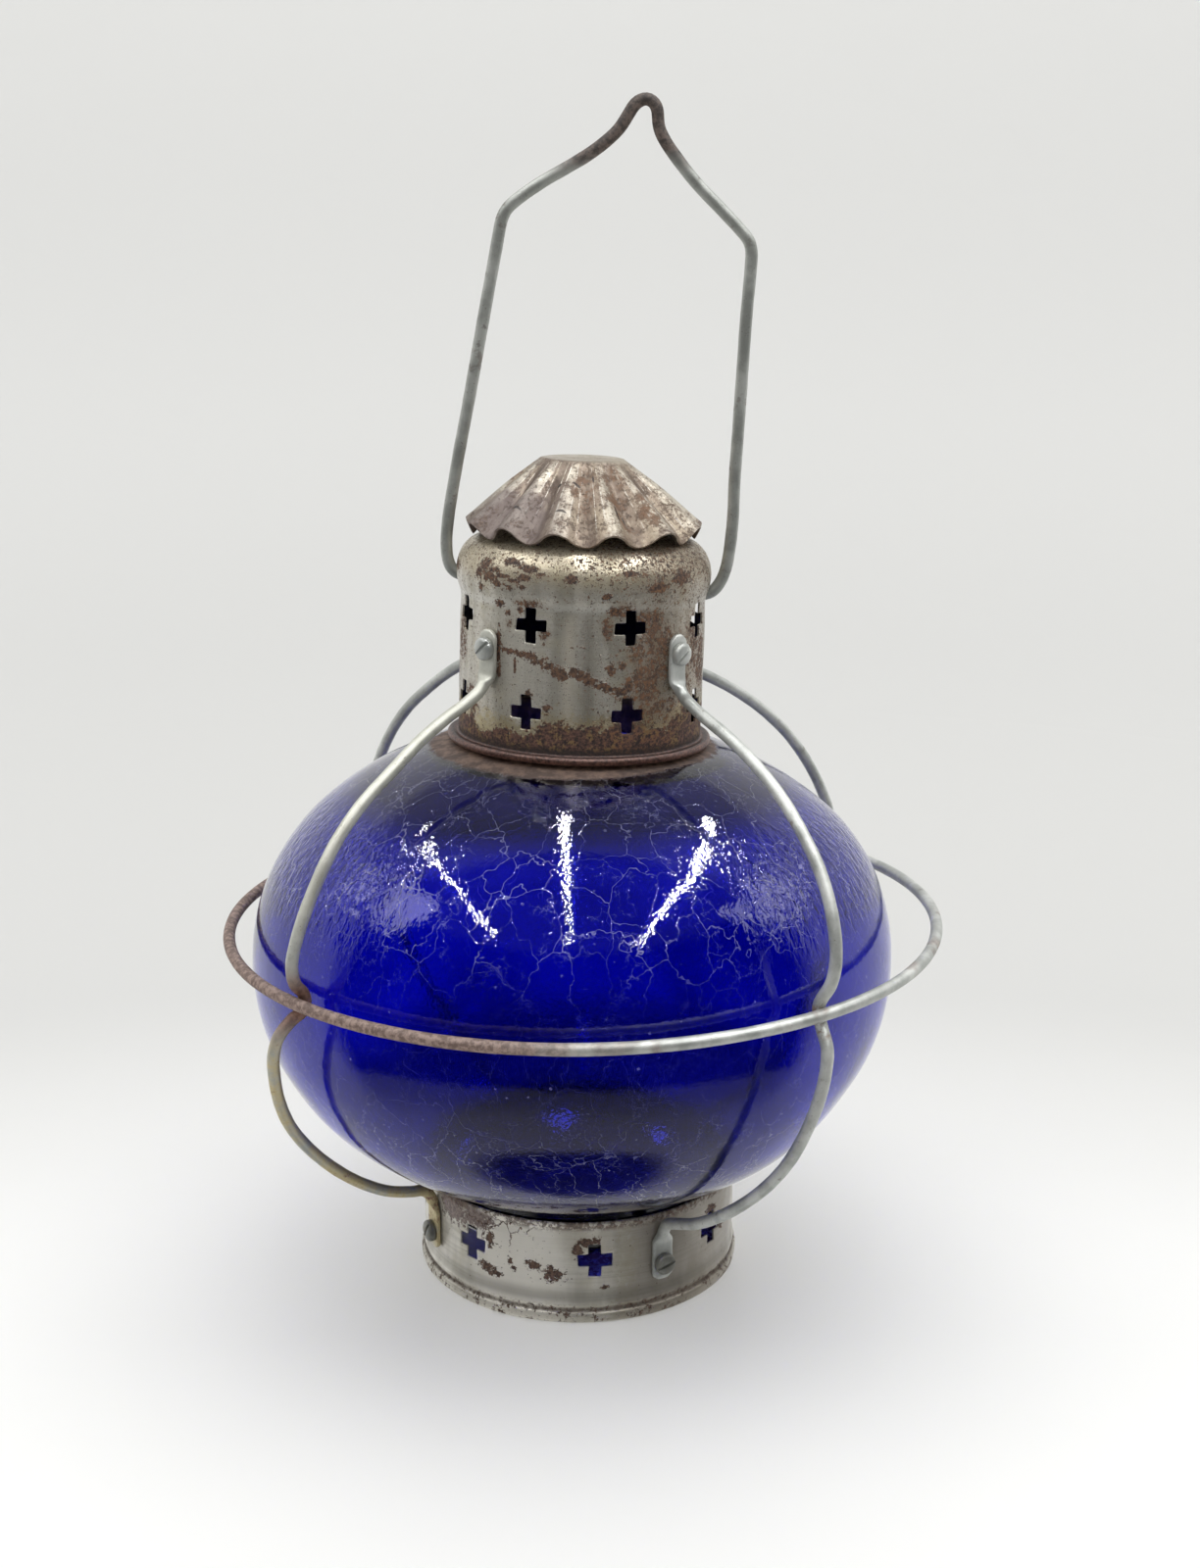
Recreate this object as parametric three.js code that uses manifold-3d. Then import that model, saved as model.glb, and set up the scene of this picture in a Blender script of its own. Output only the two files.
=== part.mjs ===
// Onion lantern: a squat blown-glass globe held between a punched base ring and a
// punched chimney by four wire ribs and one guard ring, with a fluted vent cap,
// a wire bail handle and a candle tray that drops out of the base.
// Millimetres, +Z up, origin on the floor under the middle of the guard ring.
import * as THREE from 'three';
import { mergeVertices } from 'three/addons/utils/BufferGeometryUtils.js';
import Module from 'manifold-3d';

const wasm = await Module();
wasm.setup();

// ---------------------------------------------------------------- dimensions
const AXIS_X = -1.43;            // the base's axis, a little left of the guard ring's middle
const SHEET = 0.8;               // sheet steel
const GAP = 0.3;                 // space kept between touching pieces
const WIRE_R = 1.85;             // guard and bail wire, 3.7 mm

// base ring
const BASE_WALL_R = 51.5;
const BASE_FOOT_R = 52.8;
const BASE_H = 34.4;
const BASE_CROSS_Z = 21.0;
const BASE_CROSS_AZ = [-131.2, -84.3, -34.1, 9.7, 53.5, 97.3, 141.2, -175.0];
const BASE_CROSS = { w: 10.4, h: 10.8, arm: 4.0 };
const BASE_SCREW_Z = 17.7;
const BASE_SCREW_AZ = { front_left: -152.9, front_right: -60.0, rear_right: 31.6, rear_left: 119.4 };

// chimney: its own frame starts at the middle of its bottom bead and leans
const CH_ORIGIN = new THREE.Vector3(AXIS_X + 0.2, 0, 177.85);
const CH_TILT_Y = THREE.MathUtils.degToRad(1.66);   // top leans towards +X
const CH_TILT_X = THREE.MathUtils.degToRad(-1.79);  // top leans towards +Y
const CH_R = 38.1;
const CH_BULGE_R = 39.35;
const CH_BEAD_R = 41.4;
const CH_CROSS = { w: 9.5, h: 10.2, arm: 3.0 };
const CH_CROSS_UP = { h: 39.5, az: [-114.4, -68.2, -24.0, 20.9, 65.9, 110.8, 155.7, -159.3] };
const CH_CROSS_LOW = { h: 13.2, az: [-115.7, -68.7, -24.2, 20.9, 65.9, 110.8, 155.7, -160.0] };
const CH_SCREW_H = 31.1;
const CH_SCREW_AZ = { front_left: -136.0, front_right: -43.3, rear_right: 44.0, rear_left: 134.0 };
const VENT_R = 20.0;

// bail pivots, in the chimney's frame: azimuth, height, wall radius
const PIVOT_LEFT = { az: 178.0, h: 49.0, r: 38.9 };
const PIVOT_RIGHT = { az: -2.1, h: 45.3, r: 38.1 };
const PIVOT_HOLE_R = 3.3;

// vent cap, in the chimney's frame
const CAP_TOP_R = 12.9;
const CAP_TOP_H = 86.2;
const CAP_RIDGE = { r: 36.8, h: 67.0 };
const CAP_VALLEY = { r: 34.5, h: 62.9 };
const CAP_X = -0.45;
const CAP_VALLEYS = [-144.7, -118.2, -88.9, -61.7, -30.6, -3.3, 24.0, 51.3, 78.6, 105.9, 133.2, 160.5, 187.9];

// guard ring
const RING_R = 113.0;
const RING_Z = 117.48;
const RING_TILT_Y = THREE.MathUtils.degToRad(-0.75);
const RING_TILT_X = THREE.MathUtils.degToRad(-0.39);

// glass
const GLASS_X = AXIS_X - 1.93;   // the globe's belly sits left of the base's axis
const GLASS_T = 2.6;
// outer profile from the bottom lip to the neck: radius, height
const GLASS_PROFILE = [
  [48.3, 23.4], [49.0, 33.0], [52.4, 36.6], [63.5, 43.2], [72.9, 48.9], [82.8, 57.6], [91.2, 68.6],
  [97.9, 81.4], [101.8, 95.6], [102.5, 109.0], [99.8, 124.9], [92.7, 140.3], [82.2, 152.8], [69.6, 162.4],
  [55.6, 170.4], [45.4, 174.4], [38.6, 175.7], [36.0, 177.6], [35.6, 182.6],
];

// screws and nuts
const SCREW = { headR: 3.5, headH: 2.3, shankR: 1.9, slotW: 1.0, slotD: 0.9 };
const NUT = { r: 3.7, t: 2.4, boreR: 2.25 };
const TAB_T = 1.5;
const TAB_HOLE_R = 2.2;

// candle tray
const TRAY_R = 46.5;
const TRAY_Z = 1.6;
const TRAY_RIM_H = 5.2;
const CUP_R = 12.5;
const CUP_H = 19.0;

// ---------------------------------------------------------------- materials
const paint = (hex, rough, metal) => new THREE.MeshStandardMaterial({ color: hex, roughness: rough, metalness: metal });
const galvanised = paint(0x9c9a90, 0.5, 0.75);
const rustedSheet = paint(0x8d7a70, 0.6, 0.6);
const wireGrey = paint(0x8b8b84, 0.42, 0.85);
const wireRust = paint(0x7d665a, 0.55, 0.7);
const zinc = paint(0xa4a8a8, 0.38, 0.85);
const darkZinc = paint(0x5d605c, 0.5, 0.8);
const tin = paint(0xb0aea6, 0.4, 0.8);
const glassBlue = new THREE.MeshStandardMaterial({ color: 0x0a0c8c, roughness: 0.08, metalness: 0, transparent: true, opacity: 0.55 });

// ---------------------------------------------------------------- helpers
const rad = THREE.MathUtils.degToRad;

function signedVolume(g) {
  const p = g.getAttribute('position'), ix = g.index;
  const a = new THREE.Vector3(), b = new THREE.Vector3(), c = new THREE.Vector3();
  let v = 0;
  const n = ix ? ix.count : p.count;
  for (let i = 0; i < n; i += 3) {
    a.fromBufferAttribute(p, ix ? ix.getX(i) : i);
    b.fromBufferAttribute(p, ix ? ix.getX(i + 1) : i + 1);
    c.fromBufferAttribute(p, ix ? ix.getX(i + 2) : i + 2);
    v += a.dot(b.cross(c)) / 6;
  }
  return v;
}

// shared vertices, no zero-size faces, faces pointing out
function clean(geometry) {
  let g = geometry.clone();
  g.deleteAttribute('normal');
  g.deleteAttribute('uv');
  g = mergeVertices(g, 1e-4);
  const out = [];
  const ix = g.index;
  for (let i = 0; i < ix.count; i += 3) {
    const a = ix.getX(i), b = ix.getX(i + 1), c = ix.getX(i + 2);
    if (a !== b && b !== c && c !== a) out.push(a, b, c);
  }
  if (signedVolume(g) < 0) for (let i = 0; i < out.length; i += 3) [out[i], out[i + 1]] = [out[i + 1], out[i]];
  g.setIndex(out);
  return g;
}

function solid(geometry) {
  const g = clean(geometry);
  return new wasm.Manifold(new wasm.Mesh({
    numProp: 3,
    vertProperties: Float32Array.from(g.getAttribute('position').array),
    triVerts: Uint32Array.from(g.index.array),
  }));
}

function shell(manifold) {
  const m = manifold.getMesh();
  const g = new THREE.BufferGeometry();
  const n = m.numProp, pos = new Float32Array(m.vertProperties.length / n * 3);
  for (let i = 0; i < pos.length / 3; i++) for (let k = 0; k < 3; k++) pos[3 * i + k] = m.vertProperties[n * i + k];
  g.setAttribute('position', new THREE.BufferAttribute(pos, 3));
  g.setIndex(Array.from(m.triVerts));
  return g;
}

// closed profile of [radius, height] turned about Z
function revolve(profile, segments) {
  const pts = profile.map(([r, z]) => new THREE.Vector2(r, z));
  const g = new THREE.LatheGeometry(pts, segments);
  g.rotateX(Math.PI / 2);
  return g;
}
const loop = (profile) => [...profile, profile[0]];

// a path through given points, one wire section at each of them
class KnotPath extends THREE.Curve {
  constructor(points) { super(); this.points = points; }
  getPoint(t, target = new THREE.Vector3()) {
    const n = this.points.length - 1, x = Math.min(Math.max(t, 0), 1) * n, i = Math.min(Math.floor(x), n - 1);
    return target.copy(this.points[i]).lerp(this.points[i + 1], x - i);
  }
  getPointAt(u, target) { return this.getPoint(u, target); }
  getTangent(t, target = new THREE.Vector3()) {
    const n = this.points.length - 1, i = Math.round(Math.min(Math.max(t, 0), 1) * n);
    const a = this.points[Math.max(i - 1, 0)], b = this.points[Math.min(i + 1, n)];
    return target.copy(b).sub(a).normalize();
  }
  getTangentAt(u, target) { return this.getTangent(u, target); }
}

// smooth run through key points, with sections closer together where it bends
function route(keys, fine = 12, maxTurn = 17, maxStep = 14) {
  const curve = new THREE.CatmullRomCurve3(keys, false, 'centripetal');
  const dense = curve.getPoints((keys.length - 1) * fine);
  const out = [dense[0]];
  let last = 0;
  for (let i = 1; i < dense.length - 1; i++) {
    const from = new THREE.Vector3().subVectors(dense[last + 1], dense[last]);
    const to = new THREE.Vector3().subVectors(dense[i + 1], dense[i]);
    const turn = THREE.MathUtils.radToDeg(from.angleTo(to));
    if (turn > maxTurn || dense[i].distanceTo(dense[last]) > maxStep) { out.push(dense[i]); last = i; }
  }
  out.push(dense[dense.length - 1]);
  return out;
}

function wire(points, radius = WIRE_R, sides = 7) {
  const s = new THREE.Shape();
  for (let i = 0; i < sides; i++) {
    const a = (i + 0.5) / sides * 2 * Math.PI, x = radius * Math.cos(a), y = radius * Math.sin(a);
    if (i) s.lineTo(x, y); else s.moveTo(x, y);
  }
  s.closePath();
  return new THREE.ExtrudeGeometry(s, { steps: points.length - 1, extrudePath: new KnotPath(points) });
}

function crossShape({ w, h, arm }) {
  const a = arm / 2, x = w / 2, y = h / 2, s = new THREE.Shape();
  [[-a, -y], [a, -y], [a, -a], [x, -a], [x, a], [a, a], [a, y], [-a, y], [-a, a], [-x, a], [-x, -a], [-a, -a]]
    .forEach(([u, v], i) => (i ? s.lineTo(u, v) : s.moveTo(u, v)));
  s.closePath();
  return s;
}

// moves a shape drawn with u tangential, v up and depth outwards to azimuth az, radius r, height z
function standOff(geometry, az, r, z, spin = 0) {
  const m = new THREE.Matrix4();
  const out = new THREE.Vector3(Math.cos(rad(az)), Math.sin(rad(az)), 0);
  const side = new THREE.Vector3(-Math.sin(rad(az)), Math.cos(rad(az)), 0);
  m.makeBasis(side, new THREE.Vector3(0, 0, 1), out);
  m.setPosition(out.clone().multiplyScalar(r).setZ(z));
  const g = geometry.clone();
  if (spin) g.rotateZ(rad(spin));
  g.applyMatrix4(m);
  return g;
}
const rod = (r, from, to, sides = 12) => {
  const g = new THREE.CylinderGeometry(r, r, to - from, sides);
  g.rotateX(Math.PI / 2);
  g.translate(0, 0, (from + to) / 2);
  return g;
};

// ---------------------------------------------------------------- frames
const chimneyMatrix = new THREE.Matrix4().makeRotationFromEuler(new THREE.Euler(CH_TILT_X, CH_TILT_Y, 0, 'YXZ')).setPosition(CH_ORIGIN);
const ringMatrix = new THREE.Matrix4().makeRotationFromEuler(new THREE.Euler(RING_TILT_X, RING_TILT_Y, 0, 'YXZ')).setPosition(0, 0, RING_Z);
const baseMatrix = new THREE.Matrix4().makeTranslation(AXIS_X, 0, 0);
const polar = (r, az, z) => new THREE.Vector3(r * Math.cos(rad(az)), r * Math.sin(rad(az)), z);

const lantern = new THREE.Group();
const baseGroup = new THREE.Group();
baseGroup.position.x = AXIS_X;
const chimneyGroup = new THREE.Group();
chimneyGroup.position.copy(CH_ORIGIN);
chimneyGroup.rotation.set(CH_TILT_X, CH_TILT_Y, 0, 'YXZ');
const ringGroup = new THREE.Group();
ringGroup.position.set(0, 0, RING_Z);
ringGroup.rotation.set(RING_TILT_X, RING_TILT_Y, 0, 'YXZ');
lantern.add(baseGroup, chimneyGroup, ringGroup);

function piece(name, geometry, material, parent = lantern) {
  const m = new THREE.Mesh(clean(geometry), material);
  m.geometry.computeVertexNormals();
  m.name = name;
  parent.add(m);
  return m;
}

// ---------------------------------------------------------------- base ring
{
  const i = BASE_WALL_R - SHEET;
  const profile = loop([
    [i, 0], [52.1, 0], [BASE_FOOT_R, 0.9], [BASE_FOOT_R, 3.0], [52.2, 3.9], [BASE_WALL_R, 4.3],
    [BASE_WALL_R, 32.8], [52.05, 33.5], [52.05, BASE_H], [i, BASE_H],
  ]);
  let body = solid(revolve(profile, 44));
  const cross = new THREE.ExtrudeGeometry(crossShape(BASE_CROSS), { depth: 6, bevelEnabled: false });
  for (const az of BASE_CROSS_AZ) body = body.subtract(solid(standOff(cross, az, BASE_WALL_R - 3, BASE_CROSS_Z)));
  for (const az of Object.values(BASE_SCREW_AZ)) body = body.subtract(solid(standOff(rod(TAB_HOLE_R, -3, 3), az, BASE_WALL_R, BASE_SCREW_Z)));
  piece('base_ring', shell(body), galvanised, baseGroup);
}

// ---------------------------------------------------------------- glass globe
// the upper part of the blown glass follows the leaning chimney
const smooth = (a, b, x) => { const t = Math.min(Math.max((x - a) / (b - a), 0), 1); return t * t * (3 - 2 * t); };
function leanGlass(g) {
  const p = g.getAttribute('position');
  for (let i = 0; i < p.count; i++) {
    let x = p.getX(i), y = p.getY(i), z = p.getZ(i);
    const top = smooth(118, 172, z), foot = 1 - smooth(36, 70, z);
    const lift = (-x * Math.tan(CH_TILT_Y) + y * Math.tan(CH_TILT_X)) * top;
    x += 2.13 * top + 1.93 * foot;
    p.setXYZ(i, x, y, z + lift);
  }
  return g;
}
{
  const outer = GLASS_PROFILE;
  const inner = [];
  for (let k = outer.length - 1; k >= 0; k--) {
    const a = outer[Math.max(k - 1, 0)], b = outer[Math.min(k + 1, outer.length - 1)];
    const dx = b[0] - a[0], dz = b[1] - a[1], l = Math.hypot(dx, dz);
    let r = outer[k][0] - dz / l * GLASS_T, z = outer[k][1] + dx / l * GLASS_T;
    if (k === outer.length - 1 || k === 0) { r = outer[k][0] - GLASS_T; z = outer[k][1]; }
    if (k === outer.length - 2 || k === outer.length - 3 || (k > 3 && k < 14 && k % 2)) continue;
    inner.push([r, z]);
  }
  const g = revolve(loop([...outer, ...inner]), 36);
  const m = piece('glass_globe', leanGlass(g), glassBlue);
  m.position.x = GLASS_X;
}

// ---------------------------------------------------------------- chimney
{
  const outer = [
    [38.6, -1.5], [40.6, -1.3], [CH_BEAD_R, 0], [40.6, 1.3], [38.8, 1.8], [CH_R, 3.4],
    [CH_R, 25.0], [37.85, 43.2], [38.2, 45.6], [39.25, 48.8], [CH_BULGE_R, 52.0],
    [38.3, 56.6], [36.4, 59.8], [34.0, 61.6], [27.0, 63.9], [VENT_R, 65.0],
  ];
  const inner = [
    [VENT_R, 65.0 - SHEET], [27.0, 63.1], [33.6, 60.9], [36.6, 58.2], [38.5, 52.0], [38.35, 48.9], [37.3, 45.6], [37.05, 43.2], [37.3, 25.0], [37.3, 0.6],
  ];
  let body = solid(revolve(loop([...outer, ...inner]), 36));
  const cross = new THREE.ExtrudeGeometry(crossShape(CH_CROSS), { depth: 6, bevelEnabled: false });
  for (const row of [CH_CROSS_UP, CH_CROSS_LOW]) for (const az of row.az) body = body.subtract(solid(standOff(cross, az, CH_R - 3, row.h)));
  for (const az of Object.values(CH_SCREW_AZ)) body = body.subtract(solid(standOff(rod(TAB_HOLE_R, -3, 3), az, CH_R, CH_SCREW_H)));
  for (const p of [PIVOT_LEFT, PIVOT_RIGHT]) body = body.subtract(solid(standOff(rod(PIVOT_HOLE_R, -4, 4, 16), p.az, p.r, p.h)));
  piece('chimney_shell', shell(body), galvanised, chimneyGroup);
}

// ---------------------------------------------------------------- vent cap
{
  const PER = 4, valleys = CAP_VALLEYS, n = valleys.length;
  const around = [];
  for (let i = 0; i < n; i++) {
    const a = valleys[i], b = i + 1 < n ? valleys[i + 1] : valleys[0] + 360;
    for (let k = 0; k < PER; k++) around.push({ az: a + (b - a) * k / PER, w: -Math.cos(2 * Math.PI * k / PER) });
  }
  const rings = [0, 0.12, 0.4, 0.7, 1];
  const at = (t, w, drop) => {
    const r1 = (CAP_RIDGE.r + CAP_VALLEY.r) / 2 + w * (CAP_RIDGE.r - CAP_VALLEY.r) / 2;
    const h1 = (CAP_RIDGE.h + CAP_VALLEY.h) / 2 + w * (CAP_RIDGE.h - CAP_VALLEY.h) / 2;
    return [CAP_TOP_R + (r1 - CAP_TOP_R) * t, CAP_TOP_H - (t === 0 ? 0 : 0.4) + (h1 - CAP_TOP_H + 0.4) * t - drop];
  };
  const pos = [], tri = [], m = around.length;
  const skin = (drop) => {
    const first = pos.length / 3;
    pos.push(0, 0, CAP_TOP_H - drop);
    for (const t of rings) for (const { az, w } of around) {
      const [r, h] = at(t, w, drop);
      pos.push(r * Math.cos(rad(az)), r * Math.sin(rad(az)), h);
    }
    return first;
  };
  const top = skin(0), low = skin(1.0);
  const faces = (first, flip) => {
    const put = (a, b, c) => (flip ? tri.push(a, c, b) : tri.push(a, b, c));
    for (let j = 0; j < m; j++) {
      const j2 = (j + 1) % m;
      put(first, first + 1 + j, first + 1 + j2);
      for (let k = 0; k + 1 < rings.length; k++) {
        const a = first + 1 + k * m + j, b = first + 1 + k * m + j2, c = a + m, d = b + m;
        put(a, c, d); put(a, d, b);
      }
    }
  };
  faces(top, false);
  faces(low, true);
  const e = 1 + (rings.length - 1) * m;
  for (let j = 0; j < m; j++) {
    const j2 = (j + 1) % m, a = top + e + j, b = top + e + j2, c = low + e + j, d = low + e + j2;
    tri.push(a, c, d, a, d, b);
  }
  const g = new THREE.BufferGeometry();
  g.setAttribute('position', new THREE.Float32BufferAttribute(pos, 3));
  g.setIndex(tri);
  const cap = piece('vent_cap', g, rustedSheet, chimneyGroup);
  cap.position.x = CAP_X;
}

// ---------------------------------------------------------------- guard ring
piece('guard_ring', new THREE.TorusGeometry(RING_R, WIRE_R, 8, 56), wireRust, ringGroup);

// where the ring's wire passes a given azimuth about the base's axis
function ringAt(az) {
  let best = null;
  for (let k = 0; k < 1440; k++) {
    const p = polar(RING_R, k / 4, 0).applyMatrix4(ringMatrix);
    const a = THREE.MathUtils.radToDeg(Math.atan2(p.y, p.x - AXIS_X));
    const d = Math.abs(((a - az + 540) % 360) - 180);
    if (!best || d < best.d) best = { d, r: Math.hypot(p.x - AXIS_X, p.y), z: p.z };
  }
  return best;
}

// ---------------------------------------------------------------- guard ribs
// each rib: [radius, height, azimuth] about the base's axis, from the chimney tab to the base tab;
// 'notch' is the crimp that the ring sits in
const RIBS = {
  front_left: [
    [46.6, 194.9, -136.2], [53.5, 192.0, -136.3], [63.5, 186.9, -136.4], [75.0, 179.3, -136.4], [86.2, 171.4, -136.5],
    [95.9, 161.8, -136.5], [104.2, 149.2, -136.6], [110.4, 136.4, -136.6], [112.4, 128.6, -136.7], [111.4, 122.6, -136.7],
    'notch', [111.6, 111.9, -137.5], [115.4, 107.0, -138.4], [116.1, 100.8, -139.5], [114.4, 92.6, -141.0], [111.2, 82.6, -142.8],
    [106.3, 72.2, -144.6], [99.2, 61.9, -146.4], [90.0, 51.6, -148.2], [79.6, 42.5, -149.9], [69.2, 36.2, -151.0], [60.5, 33.6, -151.6],
  ],
  front_right: [
    [45.6, 194.9, -43.6], [52.5, 191.9, -44.8], [61.5, 188.6, -45.9], [72.6, 183.0, -46.5], [84.4, 175.5, -47.3],
    [95.8, 166.1, -48.4], [104.5, 156.0, -49.1], [110.8, 144.9, -50.0], [113.7, 134.2, -50.7], [113.2, 127.2, -51.3],
    'notch', [111.9, 114.3, -52.2], [115.4, 109.2, -52.7], [116.1, 102.4, -53.2], [115.3, 94.2, -53.9], [112.3, 83.8, -54.8],
    [107.6, 73.4, -55.7], [100.6, 63.6, -56.5], [90.9, 53.6, -57.4], [79.6, 44.5, -58.1], [69.0, 37.8, -58.7], [60.8, 34.2, -59.1],
  ],
  rear_right: [
    [45.6, 194.6, 44.0], [52.5, 190.6, 43.6], [61.5, 186.2, 43.0], [72.6, 180.2, 42.4], [84.4, 172.0, 41.4],
    [95.0, 162.4, 40.4], [103.6, 151.6, 39.6], [110.2, 139.8, 38.8], [113.2, 130.6, 38.2], [112.2, 124.6, 38.0],
    'notch', [112.2, 112.9, 37.6], [115.2, 107.6, 37.0], [115.8, 101.2, 36.4], [114.6, 93.2, 35.8], [111.4, 82.8, 35.0],
    [106.6, 72.6, 34.2], [99.8, 62.6, 33.4], [90.4, 52.6, 32.8], [79.6, 43.4, 32.2], [69.0, 36.8, 31.9], [60.8, 33.8, 31.7],
  ],
  rear_left: [
    [46.6, 195.6, 134.2], [53.5, 192.6, 134.2], [63.5, 187.2, 134.0], [75.0, 179.6, 133.8], [85.6, 171.4, 133.6],
    [95.0, 161.6, 133.4], [103.2, 149.6, 133.2], [109.4, 136.8, 133.0], [111.8, 127.8, 133.0], [111.0, 121.6, 133.0],
    'notch', [111.2, 110.4, 132.6], [114.8, 105.4, 132.0], [115.6, 99.4, 131.0], [114.2, 91.4, 129.6], [110.8, 81.6, 127.8],
    [105.8, 71.4, 126.0], [99.0, 61.4, 124.2], [90.0, 51.4, 122.6], [79.4, 42.6, 121.0], [69.0, 36.4, 120.2], [60.6, 33.6, 119.8],
  ],
};
const NOTCH_AZ = { front_left: -136.8, front_right: -52.0, rear_right: 37.8, rear_left: 133.0 };

function tabShape(narrow, wide, bottom, flare, top, rounded) {
  const s = new THREE.Shape();
  s.moveTo(-narrow, bottom);
  s.lineTo(narrow, bottom);
  s.lineTo(wide, flare);
  s.lineTo(wide, top - rounded * Math.sign(top - bottom));
  s.lineTo(wide - rounded, top);
  s.lineTo(-wide + rounded, top);
  s.lineTo(-wide, top - rounded * Math.sign(top - bottom));
  s.lineTo(-wide, flare);
  s.closePath();
  return s;
}

for (const [corner, keys] of Object.entries(RIBS)) {
  const up = CH_SCREW_AZ[corner], down = BASE_SCREW_AZ[corner];
  const ring = ringAt(NOTCH_AZ[corner]);
  const seat = ring.r - 2 * WIRE_R - GAP - 0.1, az0 = NOTCH_AZ[corner];
  const pts = keys.flatMap((k) => (k === 'notch' ? [[seat + 0.8, ring.z + 2.9, az0], [seat, ring.z, az0], [seat + 0.8, ring.z - 2.9, az0]] : [k]))
    .map(([r, z, az]) => polar(r, az, z).applyMatrix4(baseMatrix));
  const start = [[40.5, 22.4], [40.7, 20.2], [42.2, 18.3]].map(([r, h]) => polar(r, up, h).applyMatrix4(chimneyMatrix));
  const end = [[56.4, 32.3], [54.3, 30.2], [53.8, 27.2]].map(([r, z]) => polar(r, down, z).applyMatrix4(baseMatrix));
  let body = solid(wire(route([...start, ...pts, ...end], 12, 20, 14), WIRE_R, 6));
  const upper = standOff(new THREE.ExtrudeGeometry(tabShape(2.2, 3.4, 19.6, 25.5, 36.6, 1.1), { depth: TAB_T, bevelEnabled: false }), up, CH_R + GAP, 0);
  upper.applyMatrix4(chimneyMatrix);
  const upperHole = standOff(rod(TAB_HOLE_R, -3, 5), up, CH_R, CH_SCREW_H);
  upperHole.applyMatrix4(chimneyMatrix);
  const lower = standOff(new THREE.ExtrudeGeometry(tabShape(2.3, 3.6, 29.6, 24.0, 12.1, 1.1), { depth: TAB_T, bevelEnabled: false }), down, BASE_WALL_R + GAP, 0);
  lower.applyMatrix4(baseMatrix);
  const lowerHole = standOff(rod(TAB_HOLE_R, -3, 5), down, BASE_WALL_R, BASE_SCREW_Z);
  lowerHole.applyMatrix4(baseMatrix);
  body = body.add(solid(upper)).add(solid(lower)).subtract(solid(upperHole)).subtract(solid(lowerHole));
  piece('guard_rib_' + corner, shell(body), corner === 'front_left' ? wireRust : wireGrey);
}

// ---------------------------------------------------------------- screws and nuts
function screwGeometry(length) {
  const { headR: R, headH: H, shankR, slotW, slotD } = SCREW;
  const profile = [[0, -length], [shankR, -length], [shankR, 0], [R, 0], [R, 0.8], [R * 0.8, 1.75], [0, H]];
  const slot = new THREE.BoxGeometry(2.4 * R, slotW, 2 * slotD);
  slot.translate(0, 0, H);
  return shell(solid(revolve(profile, 10)).subtract(solid(slot)));
}
const nutGeometry = (() => {
  const s = new THREE.Shape();
  for (let i = 0; i < 6; i++) { const a = i * Math.PI / 3; if (i) s.lineTo(NUT.r * Math.cos(a), NUT.r * Math.sin(a)); else s.moveTo(NUT.r, 0); }
  s.closePath();
  const h = new THREE.Path();
  for (let i = 0; i < 8; i++) { const a = -i * Math.PI / 4; if (i) h.lineTo(NUT.boreR * Math.cos(a), NUT.boreR * Math.sin(a)); else h.moveTo(NUT.boreR, 0); }
  h.closePath();
  s.holes.push(h);
  return new THREE.ExtrudeGeometry(s, { depth: NUT.t, bevelEnabled: false });
})();
const SLOT_SPIN = {
  upper: { front_left: 42, front_right: 38, rear_right: 75, rear_left: 12 },
  lower: { front_left: 62, front_right: 14, rear_right: -35, rear_left: 55 },
};
for (const corner of Object.keys(RIBS)) {
  const faceUp = CH_R + GAP + TAB_T + 0.25, faceLow = BASE_WALL_R + GAP + TAB_T + 0.25;
  const insideUp = CH_R - SHEET - 0.5 - NUT.t, insideLow = BASE_WALL_R - SHEET - 0.45 - NUT.t;
  piece('upper_screw_' + corner, standOff(screwGeometry(faceUp - insideUp + 1.2), CH_SCREW_AZ[corner], faceUp, CH_SCREW_H, SLOT_SPIN.upper[corner]), zinc, chimneyGroup);
  piece('upper_nut_' + corner, standOff(nutGeometry, CH_SCREW_AZ[corner], insideUp, CH_SCREW_H, 15), zinc, chimneyGroup);
  piece('lower_screw_' + corner, standOff(screwGeometry(faceLow - insideLow + 1.2), BASE_SCREW_AZ[corner], faceLow, BASE_SCREW_Z, SLOT_SPIN.lower[corner]), darkZinc, baseGroup);
  piece('lower_nut_' + corner, standOff(nutGeometry, BASE_SCREW_AZ[corner], insideLow, BASE_SCREW_Z, 15), zinc, baseGroup);
}

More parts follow.
